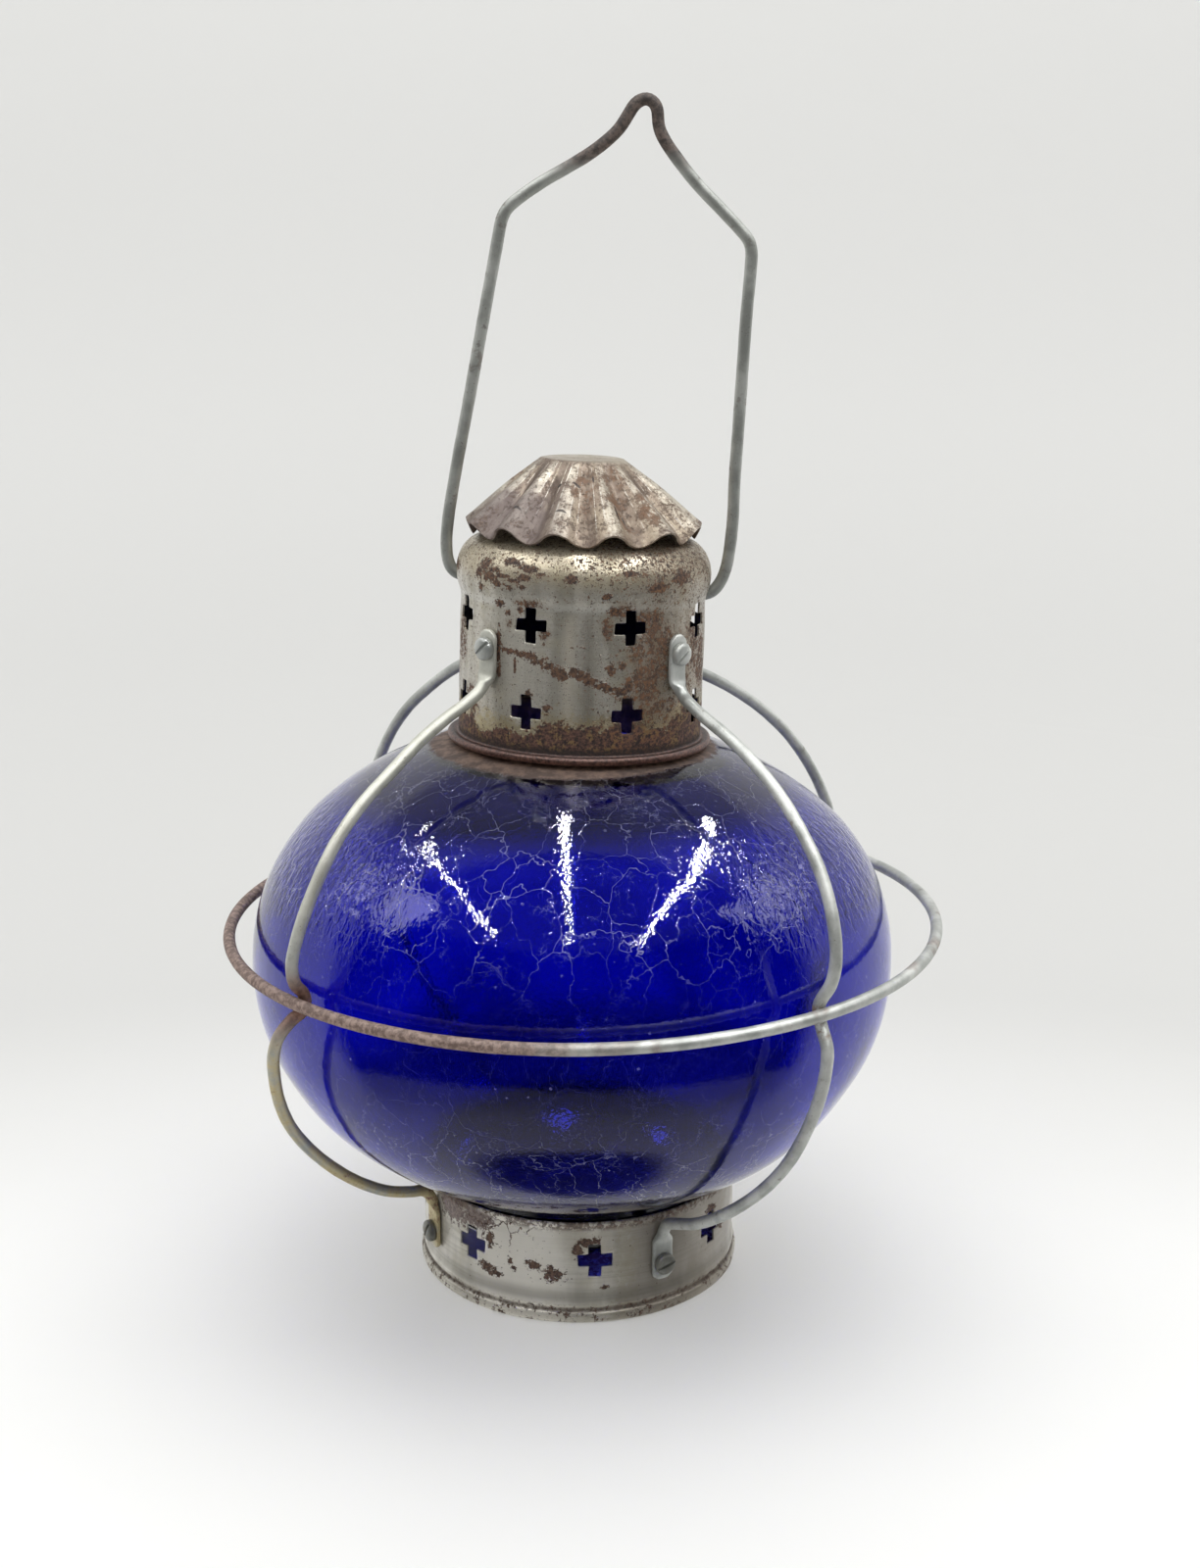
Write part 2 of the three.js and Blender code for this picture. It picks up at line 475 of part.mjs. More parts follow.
// ---------------------------------------------------------------- bail handle
// points in the bail's plane: along the pivot line from the middle, and up from it
const BAIL = [
  [-31.5, 0.0], [-34.5, 0.0], [-37.0, 0.0], [-39.1, 0.45], [-41.0, 2.0], [-42.3, 5.2], [-42.9, 10.3], [-42.85, 15.0], [-42.6, 19.2],
  [-40.77, 36.2], [-38.64, 53.0], [-36.69, 69.5], [-34.77, 85.7], [-33.3, 97.8], [-32.7, 103.0], [-32.2, 106.6], [-31.1, 109.6], [-28.6, 112.4],
  [-21.2, 118.3], [-14.4, 122.8], [-8.1, 127.1], [-3.3, 131.1], [0.6, 135.3], [2.9, 139.4], [4.8, 142.6], [7.8, 144.1],
  [10.3, 142.9], [11.4, 140.4], [11.6, 138.2], [12.3, 135.8], [14.2, 132.7], [17.2, 129.1], [24.1, 121.9], [32.4, 114.8],
  [38.6, 109.4], [41.1, 106.9], [42.35, 103.9], [42.6, 99.8], [42.7, 83.9], [43.1, 67.8], [43.5, 51.4], [43.9, 34.8],
  [44.4, 26.4], [44.5, 20.0], [44.3, 13.6], [43.7, 8.2], [42.1, 3.6], [39.9, 0.9], [37.6, 0.1], [34.5, 0.0], [31.5, 0.0],
];
{
  const p1 = polar(PIVOT_LEFT.r, PIVOT_LEFT.az, PIVOT_LEFT.h).applyMatrix4(chimneyMatrix);
  const p2 = polar(PIVOT_RIGHT.r, PIVOT_RIGHT.az, PIVOT_RIGHT.h).applyMatrix4(chimneyMatrix);
  const along = p2.clone().sub(p1).normalize(), mid = p1.clone().add(p2).multiplyScalar(0.5);
  const up = new THREE.Vector3(0, 0, 1);
  up.addScaledVector(along, -up.dot(along)).normalize();
  const keys = BAIL.map(([s, d]) => mid.clone().addScaledVector(along, s).addScaledVector(up, d));
  piece('bail_handle', wire(route(keys, 8, 17, 30)), wireGrey);
}

// ---------------------------------------------------------------- candle tray
{
  const hole = solid(rod(1.9, -2, 6));
  const tray = revolve([
    [0, TRAY_Z], [TRAY_R - 0.6, TRAY_Z], [TRAY_R, TRAY_Z + 0.8], [TRAY_R, TRAY_Z + TRAY_RIM_H], [TRAY_R - SHEET, TRAY_Z + TRAY_RIM_H],
    [TRAY_R - SHEET, TRAY_Z + SHEET + 0.4], [TRAY_R - 1.5, TRAY_Z + SHEET], [0, TRAY_Z + SHEET],
  ], 32);
  let body = solid(tray).subtract(hole);
  const clipHole = solid(rod(1.5, -2, 6, 10));
  for (const az of [75, -107.5]) {
    const c = polar(38, az, 0);
    body = body.subtract(clipHole.translate([c.x, c.y, 0]));
  }
  piece('candle_tray', shell(body), tin, baseGroup);
  const z0 = TRAY_Z + SHEET + GAP;
  const cup = revolve([
    [0, z0], [CUP_R - 0.5, z0], [CUP_R, z0 + 0.8], [CUP_R, z0 + CUP_H - 1.6], [CUP_R + 0.9, z0 + CUP_H], [CUP_R + 0.1, z0 + CUP_H],
    [CUP_R - SHEET, z0 + CUP_H - 1.6], [CUP_R - SHEET, z0 + SHEET], [0, z0 + SHEET],
  ], 24);
  piece('candle_cup', shell(solid(cup).subtract(hole)), tin, baseGroup);
  // rivet through the cup's floor and the tray
  const a = TRAY_Z - 0.25, b = z0 + SHEET + 0.25;
  piece('cup_rivet', revolve([[0, a - 1.0], [3.0, a - 0.6], [3.0, a], [1.6, a], [1.6, b], [2.8, b], [0, b + 1.1]], 12), tin, baseGroup);
  // two spring clips that grip the inside of the base
  const run = [[33.5, 2.9], [43.6, 2.9], [44.1, 3.6], [44.1, 7.0], [45.0, 8.1], [48.6, 9.4], [50.0, 11.2], [48.9, 13.6]];
  const t = 0.6, left = [], right = [];
  run.forEach(([x, y], i) => {
    const p = run[Math.max(i - 1, 0)], q = run[Math.min(i + 1, run.length - 1)];
    const dx = q[0] - p[0], dy = q[1] - p[1], l = Math.hypot(dx, dy);
    left.push([x - dy / l * t / 2, y + dx / l * t / 2]);
    right.unshift([x + dy / l * t / 2, y - dx / l * t / 2]);
  });
  const s = new THREE.Shape();
  [...left, ...right].forEach(([x, y], i) => (i ? s.lineTo(x, y) : s.moveTo(x, y)));
  s.closePath();
  const strip = new THREE.ExtrudeGeometry(s, { depth: 9, bevelEnabled: false });
  strip.translate(0, 0, -4.5);
  strip.rotateX(Math.PI / 2);
  for (const [name, az] of [['rear', 75], ['front', -107.5]]) {
    const g = strip.clone();
    g.rotateZ(rad(az));
    const c = polar(38, az, 0);
    piece('spring_clip_' + name, shell(solid(g).subtract(clipHole.translate([c.x, c.y, 0]))), tin, baseGroup);
    const rivet = revolve([[0, a - 0.7], [2.3, a - 0.5], [2.3, a], [1.2, a], [1.2, 3.45], [2.1, 3.45], [0, 4.3]], 10);
    rivet.translate(c.x, c.y, 0);
    piece('clip_rivet_' + name, rivet, tin, baseGroup);
  }
}

export default lantern;
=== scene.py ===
import bpy
import bmesh
import math
import numpy as np
from mathutils import Vector, Matrix, noise


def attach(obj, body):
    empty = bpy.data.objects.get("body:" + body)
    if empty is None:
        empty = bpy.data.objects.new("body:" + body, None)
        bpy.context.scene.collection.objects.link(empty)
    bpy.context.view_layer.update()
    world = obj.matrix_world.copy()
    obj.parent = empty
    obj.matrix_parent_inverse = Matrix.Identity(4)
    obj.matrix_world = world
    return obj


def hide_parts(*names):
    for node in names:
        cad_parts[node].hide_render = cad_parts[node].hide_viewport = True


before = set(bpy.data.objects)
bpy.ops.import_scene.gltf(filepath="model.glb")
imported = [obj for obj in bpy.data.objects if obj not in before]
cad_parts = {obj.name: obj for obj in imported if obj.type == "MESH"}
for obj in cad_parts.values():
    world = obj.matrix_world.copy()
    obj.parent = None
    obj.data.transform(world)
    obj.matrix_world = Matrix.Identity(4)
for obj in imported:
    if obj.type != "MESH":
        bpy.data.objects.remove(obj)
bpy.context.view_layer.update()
MM = 0.001
rad = math.radians

# ------------------------------------------------------------------ dimensions, mm
AXIS_X = -1.43
SHEET = 0.55
WIRE_R = 1.85
BASE_WALL_R = 51.5
BASE_CROSS_Z = 21.0
BASE_CROSS_AZ = [-131.2, -84.3, -34.1, 9.7, 53.5, 97.3, 141.2, -175.0]
BASE_SCREW_Z = 17.7
BASE_SCREW_AZ = {"front_left": -152.9, "front_right": -60.0, "rear_right": 31.6, "rear_left": 119.4}
CH_O = np.array([AXIS_X + 0.2, 0.0, 177.85])
CH_TILT_Y, CH_TILT_X = rad(1.66), rad(-1.79)
CH_R = 38.1
CROSS_UP_H, CROSS_LOW_H = 39.5, 13.2
CROSS_UP_AZ = [-114.4, -68.2, -24.0, 20.9, 65.9, 110.8, 155.7, -159.3]
CROSS_LOW_AZ = [-115.7, -68.7, -24.2, 20.9, 65.9, 110.8, 155.7, -160.0]
CH_SCREW_H = 31.1
CH_SCREW_AZ = {"front_left": -136.0, "front_right": -43.3, "rear_right": 44.0, "rear_left": 134.0}
PIVOTS = [(178.0, 49.0, 38.9), (-2.1, 45.3, 38.1)]
CAP_X = -0.45
CAP_VALLEYS = [-144.7, -118.2, -88.9, -61.7, -30.6, -3.3, 24.0, 51.3, 78.6, 105.9, 133.2, 160.5, 187.9]
RING_R, RING_Z = 113.0, 117.48
RING_TILT_Y, RING_TILT_X = rad(-0.75), rad(-0.39)
GLASS_X = AXIS_X - 1.93
CORNERS = ["front_left", "front_right", "rear_right", "rear_left"]


def rot_y(a):
    c, s = math.cos(a), math.sin(a)
    return np.array([[c, 0, s], [0, 1, 0], [-s, 0, c]])


def rot_x(a):
    c, s = math.cos(a), math.sin(a)
    return np.array([[1, 0, 0], [0, c, -s], [0, s, c]])


CH_M = rot_y(CH_TILT_Y) @ rot_x(CH_TILT_X)
RING_M = rot_y(RING_TILT_Y) @ rot_x(RING_TILT_X)


def in_chimney(p):
    return np.atleast_2d(np.asarray(p, float)) @ CH_M.T + CH_O


def in_base(p):
    return np.atleast_2d(np.asarray(p, float)) + np.array([AXIS_X, 0, 0])


def polar(r, az, z):
    return np.array([r * math.cos(rad(az)), r * math.sin(rad(az)), z])


# ------------------------------------------------------------------ camera
def make_camera():
    pitch, yaw, roll = 0.269938922, 0.0108880042, 0.00272572644
    fwd = np.array([math.sin(yaw) * math.cos(pitch), math.cos(yaw) * math.cos(pitch), -math.sin(pitch)])
    right = np.array([math.cos(yaw), -math.sin(yaw), 0.0])
    up = np.cross(right, fwd)
    r2 = math.cos(roll) * right + math.sin(roll) * up
    u2 = -math.sin(roll) * right + math.cos(roll) * up
    data = bpy.data.cameras.new("camera")
    data.lens = 46.66
    data.sensor_width = 36.0
    data.sensor_fit = "AUTO"
    data.clip_start, data.clip_end = 0.01, 50
    cam = bpy.data.objects.new("camera", data)
    m = Matrix(((r2[0], u2[0], -fwd[0]), (r2[1], u2[1], -fwd[1]), (r2[2], u2[2], -fwd[2]))).to_4x4()
    m.translation = Vector((-0.00143, -0.6225, 0.33345))
    cam.matrix_world = m
    bpy.context.scene.collection.objects.link(cam)
    bpy.context.scene.camera = cam


make_camera()


# ------------------------------------------------------------------ mesh helpers
def build(name, verts, faces, mats, body, replaces=(), sharp=38.0, weld=0.0, mat_index=None, flip_check=True):
    me = bpy.data.meshes.new(name)
    me.from_pydata((np.asarray(verts, float) * MM).tolist(), [], [tuple(int(i) for i in f) for f in faces])
    for m in mats if isinstance(mats, (list, tuple)) else [mats]:
        me.materials.append(m)
    if mat_index is not None:
        me.polygons.foreach_set("material_index", np.asarray(mat_index, np.int32))
    ob = bpy.data.objects.new(name, me)
    bpy.context.scene.collection.objects.link(ob)
    finish_mesh(ob, sharp, weld)
    place(ob, body, replaces)
    return ob


def finish_mesh(ob, sharp=38.0, weld=0.0):
    bm = bmesh.new()
    bm.from_mesh(ob.data)
    if weld:
        bmesh.ops.remove_doubles(bm, verts=bm.verts, dist=weld * MM)
    bmesh.ops.recalc_face_normals(bm, faces=bm.faces)
    lim = rad(sharp)
    for e in bm.edges:
        e.smooth = not (len(e.link_faces) == 2 and e.calc_face_angle(0.0) > lim)
    for f in bm.faces:
        f.smooth = True
    bm.to_mesh(ob.data)
    bm.free()
    ob.data.update()


def place(ob, body, replaces):
    if body is None:
        return
    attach(ob, body)
    if replaces:
        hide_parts(*([replaces] if isinstance(replaces, str) else replaces))


def grid_faces(nu, nv, wrap_u=True, wrap_v=True):
    """quads of a grid indexed u * nv + v"""
    out = []
    for i in range(nu if wrap_u else nu - 1):
        a = i * nv
        b = ((i + 1) % nu) * nv
        for j in range(nv if wrap_v else nv - 1):
            k = (j + 1) % nv
            out.append((a + j, b + j, b + k, a + k))
    return out


def revolve(profile, n):
    """closed loop of (r, z) turned about Z: vertices and quads"""
    p = np.asarray(profile, float)
    az = np.linspace(0, 2 * np.pi, n, endpoint=False)
    v = np.stack([np.outer(np.cos(az), p[:, 0]), np.outer(np.sin(az), p[:, 0]), np.tile(p[:, 1], (n, 1))], 2).reshape(-1, 3)
    return v, grid_faces(n, len(p))


def densify(pts, step, closed=True):
    p = [np.asarray(q, float) for q in pts]
    if closed:
        p.append(p[0])
    out = []
    for a, b in zip(p[:-1], p[1:]):
        n = max(1, int(math.ceil(np.linalg.norm(b - a) / step)))
        out += [a + (b - a) * k / n for k in range(n)]
    if not closed:
        out.append(p[-1])
    return np.array(out)


def round_loop(pts, step=0.5, times=2, closed=True):
    """corners cut softly, straight runs kept"""
    p = densify(pts, step, closed)
    for _ in range(times):
        q = []
        n = len(p)
        rng = range(n) if closed else range(n - 1)
        if not closed:
            q.append(p[0])
        for i in rng:
            a, b = p[i], p[(i + 1) % n]
            q += [a * 0.75 + b * 0.25, a * 0.25 + b * 0.75]
        if not closed:
            q.append(p[-1])
        p = np.array(q)
    return p


def thin(p, step, closed=True):
    """drops points closer than step where the line is nearly straight"""
    keep = [0]
    n = len(p)
    for i in range(1, n - 1):
        a, b, c = p[keep[-1]], p[i], p[(i + 1) % n]
        u, v = b - a, c - b
        lu, lv = np.linalg.norm(u), np.linalg.norm(v)
        if lu < 1e-9 or lv < 1e-9:
            continue
        turn = math.degrees(math.acos(max(-1, min(1, float(u @ v) / (lu * lv)))))
        if turn > 4 or lu > step:
            keep.append(i)
    if not closed or np.linalg.norm(p[n - 1] - p[0]) > 0.25 * step:
        keep.append(n - 1)
    return p[keep]


def catmull(keys, per=16):
    """centripetal run through the keys"""
    k = [np.asarray(q, float) for q in keys]
    first, last = 2 * k[0] - k[1], 2 * k[-1] - k[-2]
    k = [first] + k + [last]
    out = []
    for i in range(1, len(k) - 2):
        p0, p1, p2, p3 = k[i - 1], k[i], k[i + 1], k[i + 2]
        t0 = 0.0
        t1 = t0 + max(np.linalg.norm(p1 - p0), 1e-6) ** 0.5
        t2 = t1 + max(np.linalg.norm(p2 - p1), 1e-6) ** 0.5
        t3 = t2 + max(np.linalg.norm(p3 - p2), 1e-6) ** 0.5
        for s in range(per):
            t = t1 + (t2 - t1) * s / per
            a1 = (t1 - t) / (t1 - t0) * p0 + (t - t0) / (t1 - t0) * p1
            a2 = (t2 - t) / (t2 - t1) * p1 + (t - t1) / (t2 - t1) * p2
            a3 = (t3 - t) / (t3 - t2) * p2 + (t - t2) / (t3 - t2) * p3
            b1 = (t2 - t) / (t2 - t0) * a1 + (t - t0) / (t2 - t0) * a2
            b2 = (t3 - t) / (t3 - t1) * a2 + (t - t1) / (t3 - t1) * a3
            out.append((t2 - t) / (t2 - t1) * b1 + (t - t1) / (t2 - t1) * b2)
    out.append(k[-2])
    return np.array(out)


def resample(p, step):
    d = np.r_[0, np.cumsum(np.linalg.norm(np.diff(p, axis=0), axis=1))]
    n = max(2, int(round(d[-1] / step)) + 1)
    s = np.linspace(0, d[-1], n)
    return np.stack([np.interp(s, d, p[:, k]) for k in range(p.shape[1])], 1), s


def soften(p, times=1):
    for _ in range(times):
        q = p.copy()
        q[1:-1] = 0.25 * p[:-2] + 0.5 * p[1:-1] + 0.25 * p[2:]
        p = q
    return p


def offset_loop(poly, d):
    """closed 2-D line moved outwards by d"""
    p = np.asarray(poly, float)
    t = np.roll(p, -1, 0) - np.roll(p, 1, 0)
    t /= np.maximum(np.linalg.norm(t, axis=1), 1e-9)[:, None]
    n = np.stack([t[:, 1], -t[:, 0]], 1)
    area = 0.5 * np.sum(p[:, 0] * np.roll(p[:, 1], -1) - np.roll(p[:, 0], -1) * p[:, 1])
    return p + n * d * (1 if area > 0 else -1)


def cross_outline(w, h, arm, wobble=0.0, seed=0):
    """outline of a cross as a function of how far it is grown, its corners softly rounded"""
    jit = np.random.default_rng(seed).uniform(-wobble, wobble, (12, 2))

    def at(g):
        a, x, y = arm / 2 + g, w / 2 + g, h / 2 + g
        p = np.array([(-a, -y), (a, -y), (a, -a), (x, -a), (x, a), (a, a), (a, y), (-a, y), (-a, a), (-x, a), (-x, -a), (-a, -a)]) + jit
        out = []
        for i in range(12):
            cur = p[i]
            u, v = p[i - 1] - cur, p[(i + 1) % 12] - cur
            u, v = u / np.linalg.norm(u), v / np.linalg.norm(v)
            r = 0.3 if i in (2, 5, 8, 11) else 0.5
            for q in (0.0, 0.33, 0.67, 1.0):
                out.append((1 - q) ** 2 * (cur + u * r) + 2 * q * (1 - q) * cur + q * q * (cur + v * r))
        return np.array(out)
    return at


def round_outline(r, n=28):
    a = np.linspace(0, 2 * math.pi, n + 1)[:-1]
    return lambda g: np.stack([(r + g) * np.cos(a), (r + g) * np.sin(a)], 1)


def cutter_object(parts):
    v, f = [], []
    for pv, pf in parts:
        o = len(v)
        v += list(pv)
        f += [tuple(i + o for i in q) for q in pf]
    me = bpy.data.meshes.new("cutter")
    me.from_pydata((np.array(v) * MM).tolist(), [], f)
    ob = bpy.data.objects.new("cutter", me)
    bpy.context.scene.collection.objects.link(ob)
    bm = bmesh.new()
    bm.from_mesh(me)
    bmesh.ops.recalc_face_normals(bm, faces=bm.faces)
    bm.to_mesh(me)
    bm.free()
    return ob


def wall_cutter(outline, az, h, radius_at, place_fn, lows=-2.2, highs=1.4, grow=((-0.3, 0.0), (-0.12, 0.05), (0.0, 0.18), (0.25, 0.42))):
    """a plug through a round wall whose outer edge is rolled over a little"""
    levels = [(lows, 0.0)] + list(grow) + [(highs, grow[-1][1] + 0.2)]
    n = len(outline(0.0))
    v = []
    for off, g in levels:
        for u, w in outline(g):
            r0 = radius_at(h + w)
            a = az + math.degrees(u / CH_R if radius_at is chimney_radius else u / BASE_WALL_R)
            v.append(polar(r0 + off, a, h + w))
    m = len(levels)
    for off, k in ((levels[0][0], 0), (levels[-1][0], 1)):
        v.append(polar(radius_at(h) + off, az, h))
    v = place_fn(v)
    f = []
    for k in range(m - 1):
        for i in range(n):
            j = (i + 1) % n
            f += [(k * n + i, k * n + j, (k + 1) * n + j), (k * n + i, (k + 1) * n + j, (k + 1) * n + i)]
    for i in range(n):
        j = (i + 1) % n
        f.append((j, i, m * n))
        f.append(((m - 1) * n + i, (m - 1) * n + j, m * n + 1))
    return v, f


def cut(ob, parts):
    tool = cutter_object(parts)
    mod = ob.modifiers.new("cut", "BOOLEAN")
    mod.operation = "DIFFERENCE"
    mod.solver = "EXACT"
    mod.object = tool
    dg = bpy.context.evaluated_depsgraph_get()
    me = bpy.data.meshes.new_from_object(ob.evaluated_get(dg))
    ob.modifiers.clear()
    old = ob.data
    ob.data = me
    me.name = ob.name
    bpy.data.meshes.remove(old)
    bpy.data.objects.remove(tool)
    return ob


def dent(ob, amount, size, seed=0.0, radial_centre=None):
    """soft unevenness of thin sheet: every point moves with its place, so both skins move together"""
    me = ob.data
    co = np.zeros(len(me.vertices) * 3, np.float32)
    me.vertices.foreach_get("co", co)
    co = co.reshape(-1, 3) / MM
    out = co.copy()
    for i, p in enumerate(co):
        q = Vector((p[0] / size + seed, p[1] / size, p[2] / size))
        d = noise.noise(q) * amount
        c = radial_centre(p[2]) if radial_centre else (AXIS_X, 0.0)
        x, y = p[0] - c[0], p[1] - c[1]
        l = math.hypot(x, y)
        if l > 1e-3:
            out[i, 0] += x / l * d
            out[i, 1] += y / l * d
    me.vertices.foreach_set("co", (out * MM).astype(np.float32).ravel())
    me.update()


# ------------------------------------------------------------------ shader helpers
class Shade:
    """writes one material's nodes as expressions"""

    def __init__(s, name):
        s.m = bpy.data.materials.new(name)
        s.m.use_nodes = True
        s.t = s.m.node_tree
        s.t.nodes.clear()
        s.out = s.t.nodes.new("ShaderNodeOutputMaterial")
        s.b = s.t.nodes.new("ShaderNodeBsdfPrincipled")
        s.t.links.new(s.b.outputs[0], s.out.inputs["Surface"])
        s.obj = s.t.nodes.new("ShaderNodeTexCoord").outputs["Object"]

    def put(s, socket, v):
        if isinstance(v, bpy.types.NodeSocket):
            s.t.links.new(v, socket)
        else:
            if socket.type == "RGBA" and len(v) == 3:
                v = (*v, 1.0)
            socket.default_value = v

    def math(s, op, *a, clamp=False):
        n = s.t.nodes.new("ShaderNodeMath")
        n.operation = op
        n.use_clamp = clamp
        for i, v in enumerate(a):
            s.put(n.inputs[i], v)
        return n.outputs[0]

    def add(s, a, b): return s.math("ADD", a, b)
    def sub(s, a, b): return s.math("SUBTRACT", a, b)
    def mul(s, a, b, clamp=False): return s.math("MULTIPLY", a, b, clamp=clamp)
    def mx(s, *a):
        r = a[0]
        for b in a[1:]:
            r = s.math("MAXIMUM", r, b)
        return r
    def mn(s, a, b): return s.math("MINIMUM", a, b)
    def inv(s, a): return s.math("SUBTRACT", 1.0, a)

    def vmath(s, op, *a):
        n = s.t.nodes.new("ShaderNodeVectorMath")
        n.operation = op
        for i, v in enumerate(a):
            s.put(n.inputs[3] if op == "SCALE" and i == 1 else n.inputs[i], v)
        return n.outputs["Value"] if op in ("LENGTH", "DISTANCE", "DOT_PRODUCT") else n.outputs[0]

    def split(s, v):
        n = s.t.nodes.new("ShaderNodeSeparateXYZ")
        s.put(n.inputs[0], v)
        return n.outputs

    def join(s, x, y, z):
        n = s.t.nodes.new("ShaderNodeCombineXYZ")
        for i, v in enumerate((x, y, z)):
            s.put(n.inputs[i], v)
        return n.outputs[0]

    def stretch(s, v, x, y, z, loc=(0, 0, 0)):
        n = s.t.nodes.new("ShaderNodeMapping")
        s.put(n.inputs["Vector"], v)
        n.inputs["Location"].default_value = loc
        n.inputs["Scale"].default_value = (x, y, z)
        return n.outputs[0]

    def into(s, v, loc, rot):
        n = s.t.nodes.new("ShaderNodeMapping")
        n.vector_type = "TEXTURE"
        s.put(n.inputs["Vector"], v)
        n.inputs["Location"].default_value = loc
        n.inputs["Rotation"].default_value = rot
        return n.outputs[0]

    def noise(s, scale, detail=4.0, rough=0.55, dist=0.0, vec=None, out="Fac"):
        n = s.t.nodes.new("ShaderNodeTexNoise")
        s.put(n.inputs["Vector"], vec if vec is not None else s.obj)
        s.put(n.inputs["Scale"], scale)
        s.put(n.inputs["Detail"], detail)
        s.put(n.inputs["Roughness"], rough)
        s.put(n.inputs["Distortion"], dist)
        return n.outputs[out]

    def voro(s, scale, feature="F1", vec=None, random=1.0, out="Distance"):
        n = s.t.nodes.new("ShaderNodeTexVoronoi")
        n.feature = feature
        s.put(n.inputs["Vector"], vec if vec is not None else s.obj)
        s.put(n.inputs["Scale"], scale)
        s.put(n.inputs["Randomness"], random)
        return n.outputs[out]

    def rng(s, v, a, b, c=0.0, d=1.0, kind="SMOOTHSTEP"):
        n = s.t.nodes.new("ShaderNodeMapRange")
        n.interpolation_type = kind
        n.clamp = True if kind == "LINEAR" else n.clamp
        s.put(n.inputs[0], v)
        for i, w in enumerate((a, b, c, d)):
            s.put(n.inputs[i + 1], w)
        return n.outputs[0]

    def ramp(s, v, stops, kind="LINEAR"):
        n = s.t.nodes.new("ShaderNodeValToRGB")
        n.color_ramp.interpolation = kind
        e = n.color_ramp.elements
        while len(e) < len(stops):
            e.new(0.5)
        for i, (p, c) in enumerate(stops):
            e[i].position = p
            e[i].color = (*c, 1.0) if len(c) == 3 else c
        s.put(n.inputs[0], v)
        return n.outputs[0]

    def mix(s, f, a, b, blend="MIX"):
        n = s.t.nodes.new("ShaderNodeMix")
        n.data_type = "RGBA"
        n.blend_type = blend
        s.put(n.inputs[0], f)
        s.put(n.inputs[6], a)
        s.put(n.inputs[7], b)
        return n.outputs[2]

    def mixf(s, f, a, b):
        n = s.t.nodes.new("ShaderNodeMix")
        n.data_type = "FLOAT"
        s.put(n.inputs[0], f)
        s.put(n.inputs[2], a)
        s.put(n.inputs[3], b)
        return n.outputs[0]

    def bump(s, height, dist, strength=1.0, normal=None):
        n = s.t.nodes.new("ShaderNodeBump")
        s.put(n.inputs["Height"], height)
        n.inputs["Distance"].default_value = dist
        s.put(n.inputs["Strength"], strength)
        if normal is not None:
            s.put(n.inputs["Normal"], normal)
        return n.outputs[0]

    def done(s, **kw):
        for k, v in kw.items():
            s.put(s.b.inputs[k.replace("_", " ")], v)
        return s.m

    # distance-based patch in (s, h) surface coordinates, edges broken by the given noise
    def patch(s, su, hv, s0, h0, rs, rh, edge, soft=0.25):
        a = s.math("DIVIDE", s.sub(su, s0), rs)
        b = s.math("DIVIDE", s.sub(hv, h0), rh)
        d = s.math("SQRT", s.add(s.mul(a, a), s.mul(b, b)))
        return s.rng(s.add(d, edge), 1.0 + soft, 1.0 - soft)


def srgb(r, g, b):
    f = lambda c: (c / 255 / 12.92) if c / 255 <= 0.04045 else ((c / 255 + 0.055) / 1.055) ** 2.4
    return (f(r), f(g), f(b))


def steel(name, light, dark, tint, rust_lo, rust_hi, where=None, speck=0.5, rust=0.35, rough=(0.34, 0.55), metal=0.85, drawn=None, fine=1.0):
    """worn galvanised steel: sheen blotches, drawing lines, brown specks and rust where asked"""
    s = Shade(name)
    big = s.noise(38 * fine, 3, 0.5)
    mid = s.noise(160 * fine, 4, 0.6)
    small = s.noise(900 * fine, 3, 0.6)
    col = s.mix(s.rng(big, 0.35, 0.65), dark, light)
    col = s.mix(s.mul(s.rng(mid, 0.45, 0.75), 0.45), col, tint)
    if drawn is not None:
        lines = s.noise(1.0, 2, 0.5, vec=s.stretch(s.obj, *drawn))
        col = s.mix(s.mul(s.rng(lines, 0.3, 0.7), 0.35), col, tuple(0.72 * c for c in dark))
    else:
        lines = small
    edge = s.noise(420 * fine, 5, 0.7)
    specks = s.mul(s.rng(s.noise(1300 * fine, 3, 0.65), 0.63, 0.70), s.rng(mid, 0.42, 0.62))
    area = s.rng(s.add(s.mul(big, 0.5), s.mul(edge, 0.5)), 0.62 - 0.22 * rust, 0.66 - 0.22 * rust)
    r = s.mx(s.mul(specks, speck), area) if rust else s.mul(specks, speck)
    if where is not None:
        r = s.mx(r, where(s, edge, mid))
    rust_col = s.mix(s.rng(edge, 0.4, 0.62), rust_lo, rust_hi)
    col = s.mix(r, col, rust_col)
    ro = s.mixf(s.rng(mid, 0.3, 0.7), rough[0], rough[1])
    h = s.add(s.mul(small, 0.25), s.add(s.mul(mid, 0.25), s.mul(r, 0.35)))
    return s.done(Base_Color=col, Roughness=s.mixf(r, ro, 0.82), Metallic=s.mixf(r, metal, 0.12), Normal=s.bump(s.add(h, s.mul(lines, 0.15)), 0.00025, 0.6))


# ------------------------------------------------------------------ materials
GREY = srgb(196, 194, 184)
GREY_D = srgb(128, 126, 118)
YELLOW = srgb(190, 180, 140)
RUST_D = srgb(74, 52, 43)
RUST_M = srgb(112, 82, 62)
RUST_L = srgb(146, 104, 66)
MAUVE = srgb(128, 104, 98)


